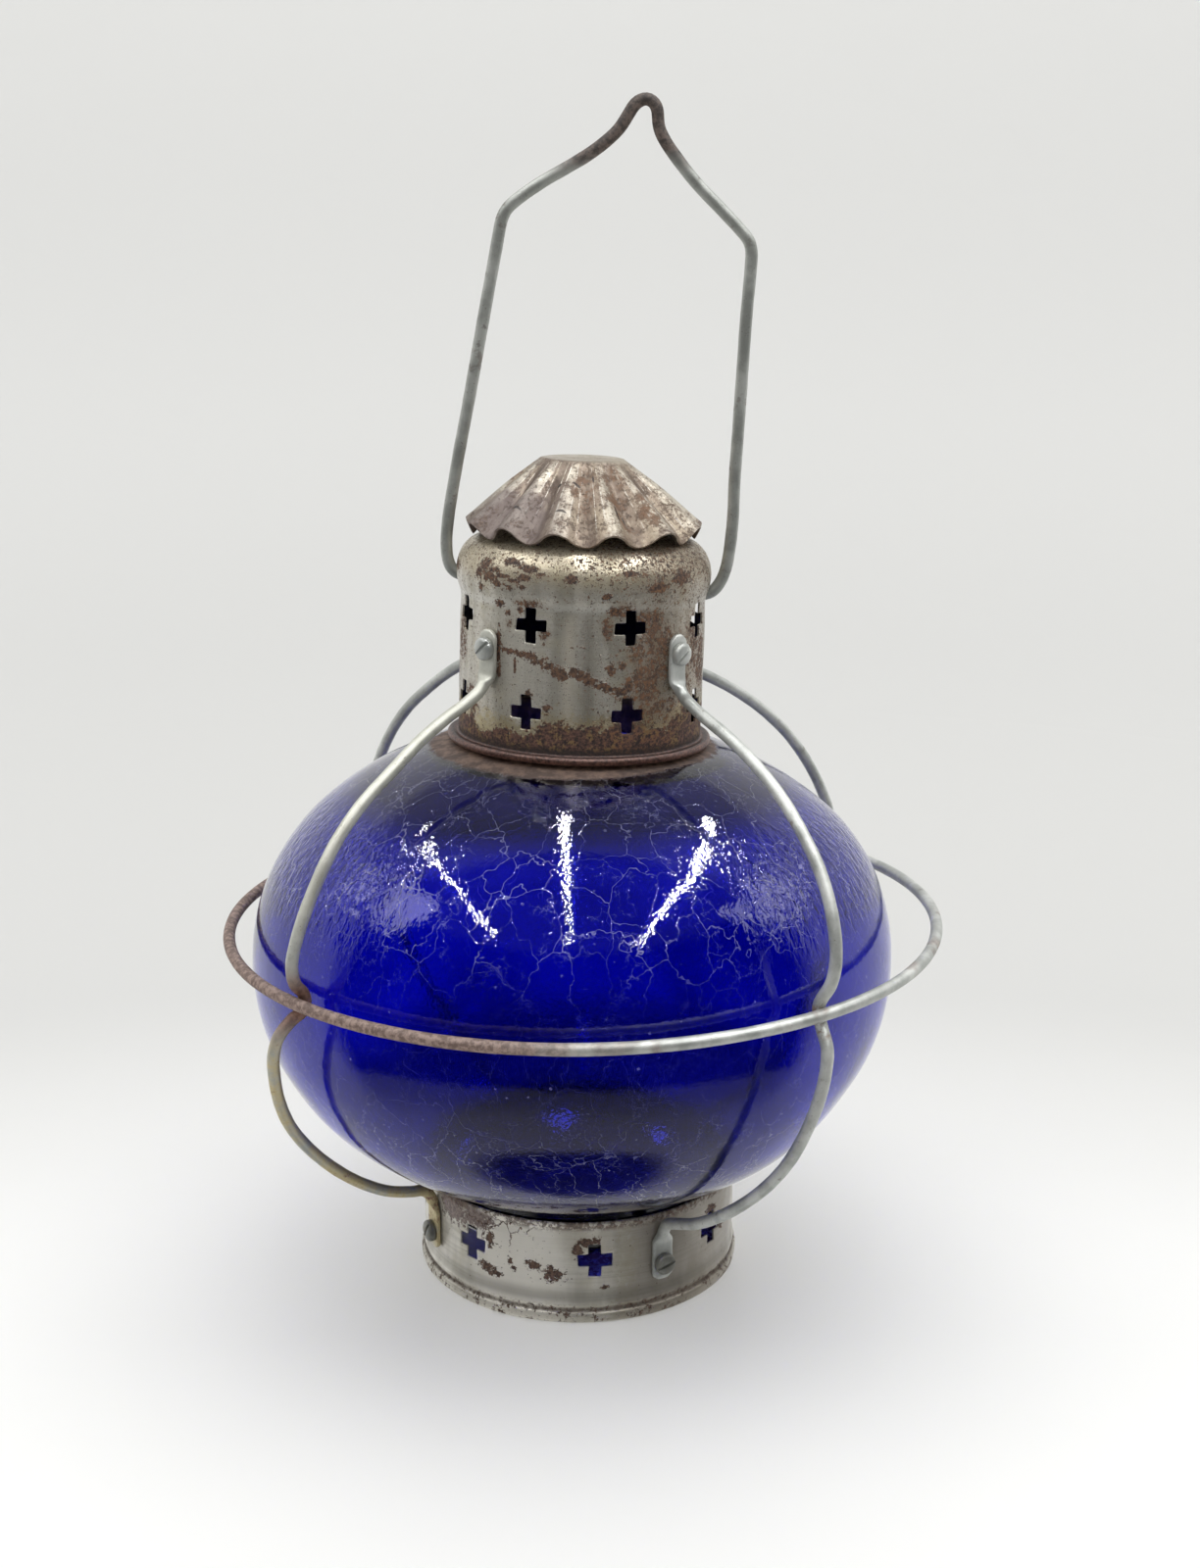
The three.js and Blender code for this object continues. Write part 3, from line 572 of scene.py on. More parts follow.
def chimney_material():
    s = Shade("chimney_sheet")
    p = s.into(s.obj, tuple(CH_O * MM), (CH_TILT_X, CH_TILT_Y, 0.0))
    x, y, z = s.split(s.vmath("SCALE", p, 1000.0))
    az = s.math("ARCTAN2", y, x)
    su = s.mul(az, CH_R)                                   # mm round the wall
    S = lambda deg: rad(deg) * CH_R
    mid = s.noise(150, 4, 0.6)
    edge = s.noise(720, 6, 0.74)
    fine = s.noise(2200, 4, 0.7)
    grain = s.noise(1050, 5, 0.74)
    # drawn sheet: fine lines round the wall, and soft upright bands of painted sheen in its colour
    lines = s.noise(1.0, 3, 0.6, vec=s.stretch(s.obj, 60, 60, 1700))
    streak = s.noise(1.0, 3, 0.5, vec=s.stretch(s.obj, 210, 210, 14))
    col = s.mix(s.rng(streak, 0.3, 0.7), srgb(166, 162, 151), srgb(206, 202, 192))
    col = s.mix(s.mul(s.rng(lines, 0.35, 0.7), 0.2), col, srgb(132, 127, 116))
    col = s.mix(s.mul(s.rng(mid, 0.48, 0.72), 0.5), col, srgb(176, 168, 142))
    col = s.mix(s.mul(s.rng(grain, 0.42, 0.62), 0.22), col, srgb(120, 110, 94))
    # a painted highlight: a bright upright band, and beside it a band of painted dark reflection
    deg = s.mul(az, 57.29578)
    hump = lambda c, w: s.rng(s.math("ABSOLUTE", s.sub(deg, c)), w, 0.0)
    col = s.mix(s.mul(hump(-96.0, 5.0), s.mul(s.rng(z, 46, 40), 0.55)), col, srgb(222, 214, 198))
    col = s.mix(s.mul(hump(-88.5, 5.0), s.mul(s.rng(z, 48, 40), 0.35)), col, srgb(112, 104, 94))
    # shoulder: tan, speckled
    shoulder = s.rng(s.add(z, s.mul(mid, 5)), 50.5, 57.5)
    col = s.mix(s.mul(shoulder, 0.6), col, srgb(184, 170, 140))
    # painted highlight: a light band in the hollow under the bulge
    hollow = s.mul(s.rng(z, 43.4, 44.6), s.rng(z, 47.0, 45.6))
    col = s.mix(s.mul(hollow, 0.4), col, srgb(208, 207, 200))
    ee = s.add(s.mul(s.sub(edge, 0.5), 4.6), s.mul(s.sub(mid, 0.5), 1.4))
    pt = lambda a, h, rs, rh, soft=0.12: s.patch(su, z, S(a), h, rs, rh, ee, soft)

    def many(rows, **kw):
        r = pt(*rows[0], **kw)
        for q in rows[1:]:
            r = s.mx(r, pt(*q, **kw))
        return r

    fl = many([(-133, 54.8, 2.0, 0.8), (-128, 53.5, 2.4, 0.7), (-122, 52.3, 2.6, 0.7), (-117.5, 50.7, 1.6, 0.7), (-143, 53.5, 1.8, 2.2), (-110, 54.8, 1.6, 0.6), (-124, 50.2, 1.2, 0.8),
               (-139, 55.3, 2.4, 3.0), (-136, 52.5, 2.8, 1.4), (-131, 51, 2.2, 0.9), (-115, 56.3, 3.0, 1.3), (-117, 53.6, 2.2, 1.1), (-96, 53.9, 1.9, 1.4),
               (-125, 57.6, 2.8, 1.0), (-142, 49, 1.6, 1.4), (-131, 44.9, 1.7, 1.1), (-127, 42.4, 1.2, 0.8), (-56, 51.5, 3.2, 1.8), (-43, 54, 3.4, 2.2), (-70, 55.8, 2.4, 0.9),
               (-80, 49.0, 1.2, 1.0), (-76, 44.4, 1.5, 1.3), (20, 53, 3.4, 2), (60, 56, 4, 1.6), (100, 52, 3.4, 1.8), (140, 55, 4, 1.6), (-170, 53.5, 3.4, 1.8), (80, 46, 1.7, 1.4)])
    sc = many([(a, h, rs * 1.06, rh * 1.2) for a, h, rs, rh in [(-131.2, 31.5, 0.9, 5.0), (-130.4, 25.4, 0.7, 2.4), (-126.5, 31.3, 2.0, 0.6), (-122.5, 30.9, 2.4, 0.8), (-118, 30.6, 2.6, 0.8), (-113.5, 30.2, 2.8, 1.1), (-109, 29.2, 2.8, 1.2), (-104.5, 27.6, 2.4, 1.1), (-100.5, 26.2, 2.2, 1.1),
               (-98.6, 24.9, 1.4, 1.0), (-93.5, 26.2, 1.5, 1.2), (-90, 25.2, 2.4, 1.1), (-86, 23.8, 2.4, 1.0), (-81.5, 22.6, 2.4, 0.8), (-77, 21.6, 2.4, 0.8), (-72.5, 20.7, 2.6, 1.2),
               (-68.4, 22.6, 1.2, 2.0), (-121.6, 27.2, 0.5, 2.0), (-77, 27.5, 1.5, 1.5), (-71.5, 28.2, 1.1, 1.1), (-119.5, 43.6, 1.0, 0.8), (-114, 18.8, 1.2, 1.1), (-70.5, 18.6, 2.0, 0.9), (-105, 15.2, 1.5, 0.9)]])
    # rust that gathers grain by grain
    bays = s.add(s.mul(s.sub(mid, 0.5), 1.6), s.mul(s.sub(s.noise(62, 3, 0.6), 0.5), 3.4))
    soft = lambda a, h, rs, rh: s.patch(su, z, S(a), h, rs, rh, bays, 0.6)
    heavy = [(-66, 31, 4.5, 4.6), (-61, 25, 5.6, 5.6), (-58, 19, 6.0, 5.2), (-52, 15.0, 7.0, 5.0), (-54, 35, 4.6, 4.2), (-73.5, 45.2, 2.8, 2.2), (-62, 41.0, 3.4, 3.2), (-56, 39.5, 2.4, 3.0),
             (-64, 9.0, 7, 4.0), (-36, 22, 4.0, 11.0), (-28, 34, 4.0, 9), (-18, 27, 4.0, 8.0), (-79, 39, 1.6, 4.2), (-114, 45.4, 4.4, 1.4), (-125, 39, 1.8, 2.0), (-108, 37, 1.6, 2.2),
             (30, 22, 8, 10), (75, 30, 8, 6), (105, 24, 9, 8), (150, 30, 8, 10), (172, 18, 10, 10), (-188, 18, 10, 10), (-165, 33, 5, 7), (-150, 12, 4, 5)]
    hv = soft(*heavy[0])
    for q in heavy[1:]:
        hv = s.mx(hv, soft(*q))
    gr = s.rng(s.add(s.mul(edge, 0.62), s.add(s.mul(grain, 0.38), s.mul(hv, 0.155))), 0.612, 0.632)
    # the lower third is rusted all round, ragged at its upper border
    rise = s.mul(s.sub(s.noise(48, 2, 0.5), 0.5), 17.0)
    border = s.add(s.add(s.mul(s.sub(mid, 0.5), 13.0), rise), s.mul(s.sub(edge, 0.5), 15.0))
    swell = s.mul(s.math("SINE", s.add(s.mul(az, 5.0), 0.6)), 1.2)
    low = s.rng(s.add(z, s.add(border, swell)), 10.6, 9.6)
    low = s.mx(low, s.rng(s.add(z, s.mul(s.sub(edge, 0.5), 6)), 5.6, 4.8))
    # brown specks of several sizes, thicker on the shoulder and to the right
    dens = s.add(s.mul(s.rng(z, 46, 60), 0.06), s.mul(s.rng(s.math("COSINE", s.add(az, 0.7)), 0.5, 1.0), 0.05))
    sp1 = s.rng(s.add(s.noise(900, 3, 0.6), dens), 0.644, 0.662)
    sp2 = s.rng(s.add(s.noise(2000, 2, 0.6), dens), 0.635, 0.66)
    sp3 = s.rng(s.add(s.mul(edge, 0.8), s.add(s.mul(mid, 0.2), s.mul(dens, 0.5))), 0.645, 0.66)
    sp = s.mx(s.mx(s.mul(sp1, 0.95), s.mul(sp2, 0.75)), s.mul(sp3, 0.9))
    rust = s.mx(s.mx(fl, sc), s.mx(gr, s.mx(low, sp)))
    rc = s.mix(s.rng(grain, 0.40, 0.60), srgb(50, 35, 28), srgb(112, 80, 57))
    rl = s.mix(s.rng(grain, 0.38, 0.62), srgb(44, 28, 25), srgb(110, 75, 60))
    rc = s.mix(s.rng(s.add(z, s.mul(s.sub(mid, 0.5), 8)), 14, 8), rc, rl)
    ochre = s.mul(s.rng(s.add(s.mul(grain, 0.5), s.mul(s.noise(300, 3, 0.6), 0.5)), 0.530, 0.585), s.rng(z, 18, 10))
    rc = s.mix(s.mul(ochre, 0.65), rc, srgb(134, 106, 60))
    orange = s.mul(s.rng(grain, 0.52, 0.60), s.rng(s.math("COSINE", s.add(az, 1.08)), 0.90, 0.985))
    rc = s.mix(s.mul(orange, 0.7), rc, srgb(126, 84, 46))
    # painted shade on the front right of the wall
    right = s.rng(s.math("COSINE", s.add(az, rad(38))), 0.79, 0.97)
    col = s.mix(s.mul(right, 0.5), col, srgb(124, 112, 96))
    # painted light on the front left, below the bulge
    left = s.mul(hump(-119.0, 17.0), s.rng(z, 47, 40))
    col = s.mix(s.mul(left, 0.4), col, srgb(226, 222, 210))
    # yellow halos round the low rust and faint brown bloom round the granular rust
    halo = s.rng(s.add(z, border), 15.5, 10.5)
    col = s.mix(s.mul(halo, 0.6), col, srgb(164, 146, 96))
    col = s.mix(s.mul(hv, 0.5), col, srgb(126, 104, 80))
    col = s.mix(rust, col, rc)
    # the rolled edge: dark maroon, worn pinkish on its crest, with a painted shadow in the groove above it
    bead = s.rng(z, 1.9, 1.4)
    col = s.mix(s.mul(bead, 0.9), col, s.mix(s.rng(grain, 0.38, 0.62), srgb(60, 38, 34), srgb(120, 86, 76)))
    groove = s.mul(s.rng(z, 0.9, 1.3), s.rng(z, 4.2, 2.0))
    col = s.mix(s.mul(groove, 0.7), col, srgb(36, 25, 23))
    rough = s.mixf(s.rng(mid, 0.3, 0.7), 0.26, 0.38)
    rough = s.mixf(rust, rough, 0.72)
    rough = s.mixf(bead, rough, 0.40)
    metal = s.mixf(rust, 0.52, 0.1)
    metal = s.mixf(bead, metal, 0.3)
    h = s.add(s.mul(fine, 0.14), s.add(s.mul(mid, 0.3), s.mul(lines, 0.10)))
    h = s.add(h, s.mul(s.mul(rust, s.add(grain, 0.3)), 0.6))
    return s.done(Base_Color=col, Roughness=rough, Metallic=metal, Normal=s.bump(h, 0.0003, 0.8))


def soot_material():
    s = Shade("sooty_inside")
    n = s.noise(220, 5, 0.65)
    col = s.mix(s.rng(n, 0.35, 0.7), srgb(14, 14, 18), srgb(40, 38, 38))
    return s.done(Base_Color=col, Roughness=s.mixf(n, 0.6, 0.85), Metallic=0.3, Normal=s.bump(n, 0.0003, 0.5))


def base_material():
    s = Shade("base_sheet")
    x, y, z = s.split(s.vmath("SCALE", s.obj, 1000.0))
    az = s.math("ARCTAN2", y, s.sub(x, AXIS_X))
    su = s.mul(az, BASE_WALL_R)
    S = lambda deg: rad(deg) * BASE_WALL_R
    mid = s.noise(120, 4, 0.6)
    edge = s.noise(680, 6, 0.74)
    grain = s.noise(1050, 5, 0.74)
    fine = s.noise(2200, 4, 0.7)
    # drawn sheet: fine lines round the wall, and soft upright bands of painted sheen in its colour
    lines = s.noise(1.0, 3, 0.6, vec=s.stretch(s.obj, 36, 36, 1300))
    streak = s.noise(1.0, 3, 0.55, vec=s.stretch(s.obj, 120, 120, 40))
    col = s.mix(s.rng(streak, 0.3, 0.7), srgb(184, 180, 170), srgb(220, 217, 208))
    col = s.mix(s.mul(s.rng(lines, 0.4, 0.7), 0.3), col, srgb(146, 144, 134))
    col = s.mix(s.mul(s.rng(mid, 0.5, 0.75), 0.4), col, srgb(184, 178, 154))
    ee = s.add(s.mul(s.sub(edge, 0.5), 4.6), s.mul(s.sub(mid, 0.5), 1.4))
    pt = lambda a, h, rs, rh, soft=0.12: s.patch(su, z, S(a), h, rs, rh, ee, soft)
    marks = [(-106.2, 18.6, 2.2, 1.5), (-98.9, 15.8, 3.0, 2.2), (-100, 18.6, 1.2, 1.2), (-87.5, 27.3, 2.6, 1.3), (-90.3, 24.6, 1.6, 2.4), (-84, 27.6, 1.3, 1.6), (-115, 18.6, 1.0, 1.6),
             (-113.5, 16.6, 0.9, 1.2), (-124, 14.6, 3.4, 1.6), (-121, 13.2, 2.4, 1.2), (-122.8, 24.6, 1.5, 3.0), (-81, 11.8, 1.4, 0.8), (-34, 27.4, 2.6, 1.6), (-26, 20, 2, 2),
             (9.7, 27.6, 4, 1.8), (14, 14.4, 3, 1.6), (36, 24, 4, 3), (58, 27.8, 3.6, 1.8), (70, 17, 3, 2.4), (97, 28, 4, 2), (104, 14, 4, 2), (128, 22, 3.6, 3), (146, 27.4, 3.6, 1.8), (165, 17, 3, 2.6), (-175, 27.8, 4, 2)]
    mk = pt(*marks[0])
    for q in marks[1:]:
        mk = s.mx(mk, pt(*q))
    pink = s.mx(pt(-139.5, 30.2, 7.0, 5.2, 0.1), pt(-129.5, 30.0, 6.4, 3.0, 0.12))
    # thin winding cracks of lifted coating beside the pinkish patch
    crk = s.voro(150, "DISTANCE_TO_EDGE", vec=s.vmath("ADD", s.obj, s.vmath("SCALE", s.noise(260, 3, 0.6, out="Color"), 0.006)))
    crk = s.mul(s.rng(crk, 0.045, 0.012), pt(-120.5, 28.2, 11.0, 5.6, 0.3))
    # crust along the foot's groove and the rim
    foot = s.mul(s.rng(s.add(z, s.mul(s.sub(edge, 0.5), 9.0)), 6.4, 5.0), 1.0)
    groove = s.mul(s.rng(z, 3.3, 4.0), s.rng(z, 5.4, 4.6))
    footrust = s.mul(s.rng(s.add(edge, s.mul(mid, 0.5)), 0.78, 0.86), s.rng(z, 6.5, 5.0))
    rim = s.mul(s.rng(z, 30.2, 32.6), s.rng(s.add(edge, s.mul(mid, 0.4)), 0.62, 0.74))
    specks = s.rng(s.noise(1100, 2, 0.6), 0.70, 0.725)
    rust = s.mx(s.mx(mk, s.mul(specks, 0.9)), s.mx(footrust, s.mx(s.mul(rim, 0.85), crk)))
    rust = s.mx(rust, s.mul(s.mul(groove, 0.75), s.rng(edge, 0.3, 0.6)))
    lit = s.rng(s.math("COSINE", s.add(az, rad(112))), 0.93, 0.995)
    col = s.mix(s.mul(lit, 0.8), col, srgb(244, 240, 230))
    # painted shade towards the front right of the wall
    shade_right = s.rng(s.math("COSINE", s.add(az, rad(44))), 0.74, 0.95)
    col = s.mix(s.mul(shade_right, 0.72), col, srgb(110, 102, 92))
    stain = pt(-73.2, 20, 3.6, 13, 0.6)
    col = s.mix(s.mul(stain, 0.35), col, srgb(142, 134, 108))
    halo = s.patch(su, z, S(-88), 26, 6, 4.5, s.mul(ee, 0.6), 0.6)
    col = s.mix(s.mul(halo, 0.3), col, srgb(168, 156, 128))
    col = s.mix(s.mul(foot, 0.22), col, srgb(150, 140, 116))
    # painted shade: a darker band round the wall just above the foot
    col = s.mix(s.mul(s.mul(s.rng(z, 12.5, 9.0), s.rng(z, 6.2, 8.2)), 0.4), col, srgb(118, 114, 104))
    col = s.mix(pink, col, s.mix(s.rng(grain, 0.38, 0.62), srgb(98, 84, 80), srgb(140, 126, 120)))
    rc = s.mix(s.rng(grain, 0.38, 0.62), srgb(56, 42, 36), srgb(108, 84, 70))
    col = s.mix(rust, col, rc)
    # painted shadow in the groove above the foot
    col = s.mix(s.mul(s.mul(groove, s.rng(z, 4.6, 4.2)), 0.6), col, srgb(60, 48, 36))
    rough = s.mixf(rust, s.mixf(s.rng(mid, 0.3, 0.7), 0.3, 0.46), 0.8)
    metal = s.mixf(s.mx(rust, s.mul(pink, 0.6)), 0.42, 0.1)
    h = s.add(s.mul(fine, 0.14), s.add(s.mul(mid, 0.3), s.mul(lines, 0.12)))
    h = s.add(h, s.mul(s.mul(s.mx(rust, pink), s.add(edge, 0.3)), 0.5))
    return s.done(Base_Color=col, Roughness=rough, Metallic=metal, Normal=s.bump(h, 0.0003, 0.75))


def cap_material():
    s = Shade("cap_sheet")
    p = s.into(s.obj, tuple(CH_O * MM), (CH_TILT_X, CH_TILT_Y, 0.0))
    x, y, z = s.split(s.vmath("SCALE", p, 1000.0))
    x = s.sub(x, CAP_X)
    az = s.math("ARCTAN2", y, x)
    r = s.math("SQRT", s.add(s.mul(x, x), s.mul(y, y)))
    big = s.noise(60, 3, 0.5)
    mid = s.noise(190, 4, 0.6)
    edge = s.noise(460, 6, 0.72)
    fine = s.noise(1800, 3, 0.6)
    # streaks run down the flutes
    ux, uy = s.math("DIVIDE", x, s.mx(r, 0.01)), s.math("DIVIDE", y, s.mx(r, 0.01))
    run = s.noise(1.0, 4, 0.6, vec=s.join(s.mul(ux, 26.0), s.mul(uy, 26.0), s.mul(r, 0.05)))
    col = s.mix(s.rng(big, 0.35, 0.65), srgb(162, 148, 128), srgb(140, 124, 110))
    col = s.mix(s.mul(s.rng(run, 0.42, 0.7), 0.5), col, srgb(184, 174, 150))
    # dirt and painted shade lie in the valleys, painted highlights on the ridges
    fold = s.math("COSINE", s.mul(s.add(az, rad(88.9)), 13.0))
    ragged = s.add(fold, s.mul(s.sub(mid, 0.5), 2.4))
    col = s.mix(s.mul(s.rng(ragged, 0.1, 1.1), s.mul(s.rng(r, 11, 18), 0.75)), col, srgb(84, 68, 58))
    col = s.mix(s.mul(s.rng(ragged, -0.35, -1.1), s.mul(s.rng(r, 11, 18), 0.7)), col, srgb(216, 210, 194))
    # painted highlights: thin bright lines along the creases
    crease = s.mx(s.rng(s.math("ABSOLUTE", s.add(fold, 0.62)), 0.13, 0.02), s.rng(s.math("ABSOLUTE", s.sub(fold, 0.38)), 0.10, 0.02))
    crease = s.mul(s.mul(crease, s.rng(r, 13, 15.5)), s.mul(s.rng(r, 34.5, 29), s.rng(s.noise(150, 4, 0.65), 0.44, 0.56)))
    col = s.mix(s.mul(crease, 0.85), col, srgb(238, 232, 220))
    mauve = s.mul(s.rng(s.math("COSINE", s.add(az, 2.55)), 0.55, 0.95), s.rng(s.add(r, s.mul(s.sub(mid, 0.5), 16)), 19, 27))
    col = s.mix(s.mul(mauve, 0.8), col, srgb(106, 92, 90))
    e = s.mul(s.sub(edge, 0.5), 3.0)
    su = s.mul(az, 25.0)
    S = lambda deg: rad(deg) * 25.0
    pt = lambda a, rr, rs, rh, soft=0.3: s.patch(su, r, S(a), rr, rs, rh, e, soft)
    orange = s.mx(s.mx(pt(-66, 24, 4.2, 8.5), pt(-58, 17, 3.2, 4.0)), s.mx(pt(-50, 29, 2.6, 5.0), pt(-90, 21, 4.5, 6.0, 0.5)))
    orange = s.mx(orange, s.mx(pt(40, 24, 6, 7), s.mx(pt(115, 26, 6, 6), pt(168, 22, 5, 7))))
    orange = s.mul(orange, s.rng(s.add(s.mul(edge, 0.6), s.mul(mid, 0.4)), 0.44, 0.58))
    patches = s.rng(s.add(s.noise(900, 5, 0.7), s.mul(mid, 0.5)), 0.80, 0.86)
    rustc = s.mix(s.rng(edge, 0.42, 0.6), srgb(84, 56, 36), srgb(134, 90, 50))
    brown = s.mix(s.rng(edge, 0.42, 0.6), srgb(78, 62, 54), srgb(116, 94, 80))
    col = s.mix(s.mul(patches, 0.6), col, brown)
    col = s.mix(s.mul(orange, s.rng(edge, 0.40, 0.60)), col, rustc)
    specks = s.rng(s.noise(1700, 3, 0.6), 0.62, 0.66)
    col = s.mix(s.mul(specks, 0.8), col, srgb(84, 66, 54))
    grain = s.noise(1150, 5, 0.74)
    easy = s.rng(s.math("COSINE", s.add(az, rad(48))), 0.3, 1.0)
    gr = s.rng(s.add(s.add(s.mul(grain, 0.6), s.mul(easy, 0.02)), s.add(s.mul(mid, 0.4), s.mul(orange, 0.10))), 0.548, 0.585)
    col = s.mix(s.mul(gr, 0.85), col, s.mix(orange, srgb(104, 84, 70), srgb(128, 88, 54)))
    # small dark scratches
    col = s.mix(s.mul(easy, s.mixf(s.rng(grain, 0.40, 0.58), 0.15, 0.5)), col, srgb(124, 104, 84))
    scr = None
    for a, rr, rs, rh in [(-98, 19.5, 1.6, 0.35), (-83, 18.2, 0.35, 1.0), (-112, 20.6, 0.7, 0.5), (-70, 27.5, 0.4, 2.0), (-104, 29.5, 1.6, 0.35), (-134, 30.4, 2.4, 0.4), (-66, 28.0, 0.3, 1.0)]:
        q = s.patch(su, r, S(a), rr, rs, rh, s.mul(e, 0.35), 0.25)
        scr = q if scr is None else s.mx(scr, q)
    col = s.mix(s.mul(scr, 0.9), col, srgb(48, 38, 34))
    top = s.rng(r, 13.6, 12.4)
    col = s.mix(s.mul(top, 0.6), col, srgb(172, 164, 148))
    lip = s.rng(r, 34.9, 36.6)
    col = s.mix(s.mul(lip, 0.35), col, srgb(92, 76, 70))
    rust = s.mx(s.mul(patches, 0.5), s.mx(s.mul(orange, 0.9), s.mul(mauve, 0.5)))
    rust = s.mx(rust, s.mul(gr, 0.6))
    rough = s.mixf(rust, s.mixf(s.rng(mid, 0.3, 0.7), s.mixf(easy, 0.32, 0.44), s.mixf(easy, 0.46, 0.56)), 0.68)
    metal = s.mixf(rust, s.mixf(easy, 0.46, 0.34), 0.12)
    h = s.add(s.mul(fine, 0.15), s.add(s.mul(mid, 0.3), s.add(s.mul(s.mx(patches, s.mul(scr, -2.0)), 0.3), s.mul(crease, 0.25))))
    return s.done(Base_Color=col, Roughness=rough, Metallic=metal, Normal=s.bump(s.add(h, s.mul(run, 0.2)), 0.00035, 0.8))


def glass_material():
    s = Shade("cobalt_crackle_glass")
    x, y, z = s.split(s.vmath("SCALE", s.obj, 1000.0))
    warp = s.vmath("SCALE", s.vmath("SUBTRACT", s.noise(120, 3, 0.5, out="Color"), (0.5, 0.5, 0.5)), 0.010)
    pos = s.vmath("ADD", s.stretch(s.obj, 1.0, 1.0, 0.62), warp)
    # long upright crackle cells, broken here and there
    c1 = s.voro(92, "DISTANCE_TO_EDGE", vec=pos)
    fade = s.rng(s.noise(60, 3, 0.6), 0.30, 0.56)
    zone = s.mx(s.rng(z, 122, 140), s.rng(z, 92, 70))
    v1 = s.mul(s.rng(c1, 0.0125, 0.0040), s.mul(fade, s.mixf(zone, 0.17, 0.72)))
    warp2 = s.vmath("SCALE", s.vmath("SUBTRACT", s.noise(300, 4, 0.6, out="Color"), (0.5, 0.5, 0.5)), 0.007)
    c2 = s.voro(190, "DISTANCE_TO_EDGE", vec=s.vmath("ADD", s.obj, warp2))
    v2 = s.mul(s.rng(c2, 0.020, 0.007), s.mul(s.rng(s.noise(95, 3, 0.6), 0.46, 0.60), s.mixf(zone, 0.16, 0.55)))
    hair = s.mul(s.rng(s.noise(1.0, 2, 0.5, vec=s.stretch(s.obj, 420, 420, 1900)), 0.70, 0.76), s.mul(s.rng(s.noise(80, 3, 0.6), 0.5, 0.66), 0.5))
    bub = s.voro(330, "F1", vec=s.obj)
    bsize = s.split(s.voro(330, "F1", vec=s.obj, out="Color"))[0]
    bubbles = s.rng(bub, s.mul(s.math("POWER", bsize, 4.0), 0.26), s.mul(s.math("POWER", bsize, 4.0), 0.10))
    bubbles = s.mul(bubbles, 0.5)
    vein = s.mx(s.mx(v1, v2), s.mx(hair, bubbles))
    cloud = s.noise(26, 3, 0.5)
    body = s.mix(s.rng(cloud, 0.35, 0.65), (0.013, 0.017, 0.49), (0.024, 0.030, 0.64))
    # painted shade: the blue body is darker towards the foot and up on the shoulder
    low = s.mx(s.rng(z, 65, 47), s.rng(z, 157, 166))
    body = s.mix(s.mul(low, 0.95), body, (0.006, 0.006, 0.10))
    # painted shadow: almost black inside the base ring and in the neck under the chimney
    body = s.mix(s.mx(s.rng(z, 38, 33), s.rng(z, 172, 176)), body, (0.002, 0.002, 0.03))
    # rusty run-off and grime on the shelf round the chimney
    gr = s.noise(240, 5, 0.7)
    gx = s.sub(x, GLASS_X + 2.1)
    rr = s.math("SQRT", s.add(s.mul(gx, gx), s.mul(y, y)))
    side = s.rng(s.math("COSINE", s.add(s.math("ARCTAN2", y, gx), rad(135))), 0.0, 0.9)
    grime = s.mul(s.rng(s.add(rr, s.sub(s.mul(s.sub(gr, 0.5), 7.0), s.mul(side, 4.0))), 44.7, 42.4), s.mul(s.rng(z, 168, 170.5), 0.97))
    # a faint grey veil on the shoulder: dust together with a painted grey reflection
    dust_and_reflection = s.mul(s.rng(z, 150, 172), s.mul(s.rng(s.noise(170, 5, 0.7), 0.40, 0.72), 0.05))
    col = s.mix(s.mul(vein, 0.85), body, srgb(208, 211, 228))
    col = s.mix(dust_and_reflection, col, srgb(150, 150, 160))
    col = s.mix(grime, col, s.mix(s.rng(gr, 0.4, 0.62), srgb(80, 58, 46), srgb(126, 100, 84)))
    trans = s.mul(s.mul(s.sub(1.0, s.mul(vein, 0.5)), s.inv(grime)), s.inv(dust_and_reflection))
    rough = s.mixf(grime, s.mixf(vein, 0.0, 0.15), 0.7)
    # hand-blown unevenness: broad waves, ripples on the shoulders and a fine orange peel
    wide = s.noise(34, 2, 0.5)
    az = s.math("ARCTAN2", y, s.sub(x, GLASS_X))
    rip = s.noise(1.0, 2, 0.5, dist=0.5, vec=s.stretch(s.obj, 420, 420, 85))
    ripple = s.mul(rip, s.mul(s.rng(z, 126, 138), s.mul(s.rng(z, 166, 152), s.rng(s.math("ABSOLUTE", s.math("COSINE", az)), 0.47, 0.62))))
    peel = s.noise(900, 1, 0.45)
    # every crackle cell is tilted a little its own way
    node = s.t.nodes.new("ShaderNodeTexVoronoi")
    s.put(node.inputs["Vector"], pos)
    s.put(node.inputs["Scale"], 92.0)
    tilt = s.vmath("DOT_PRODUCT", s.vmath("SUBTRACT", pos, node.outputs["Position"]), s.vmath("SUBTRACT", node.outputs["Color"], (0.5, 0.5, 0.5)))
    n = s.bump(wide, 0.004, 0.045)
    n = s.bump(s.mul(tilt, 1000.0), 0.000012, 1.0, n)
    n = s.bump(ripple, 0.0012, 0.5, n)
    n = s.bump(peel, 0.00003, 1.0, n)
    n = s.bump(s.mx(vein, grime), 0.00002, 0.5, n)
    return s.done(Base_Color=col, Roughness=rough, Metallic=0.0, IOR=1.5, Transmission_Weight=trans, Normal=n)


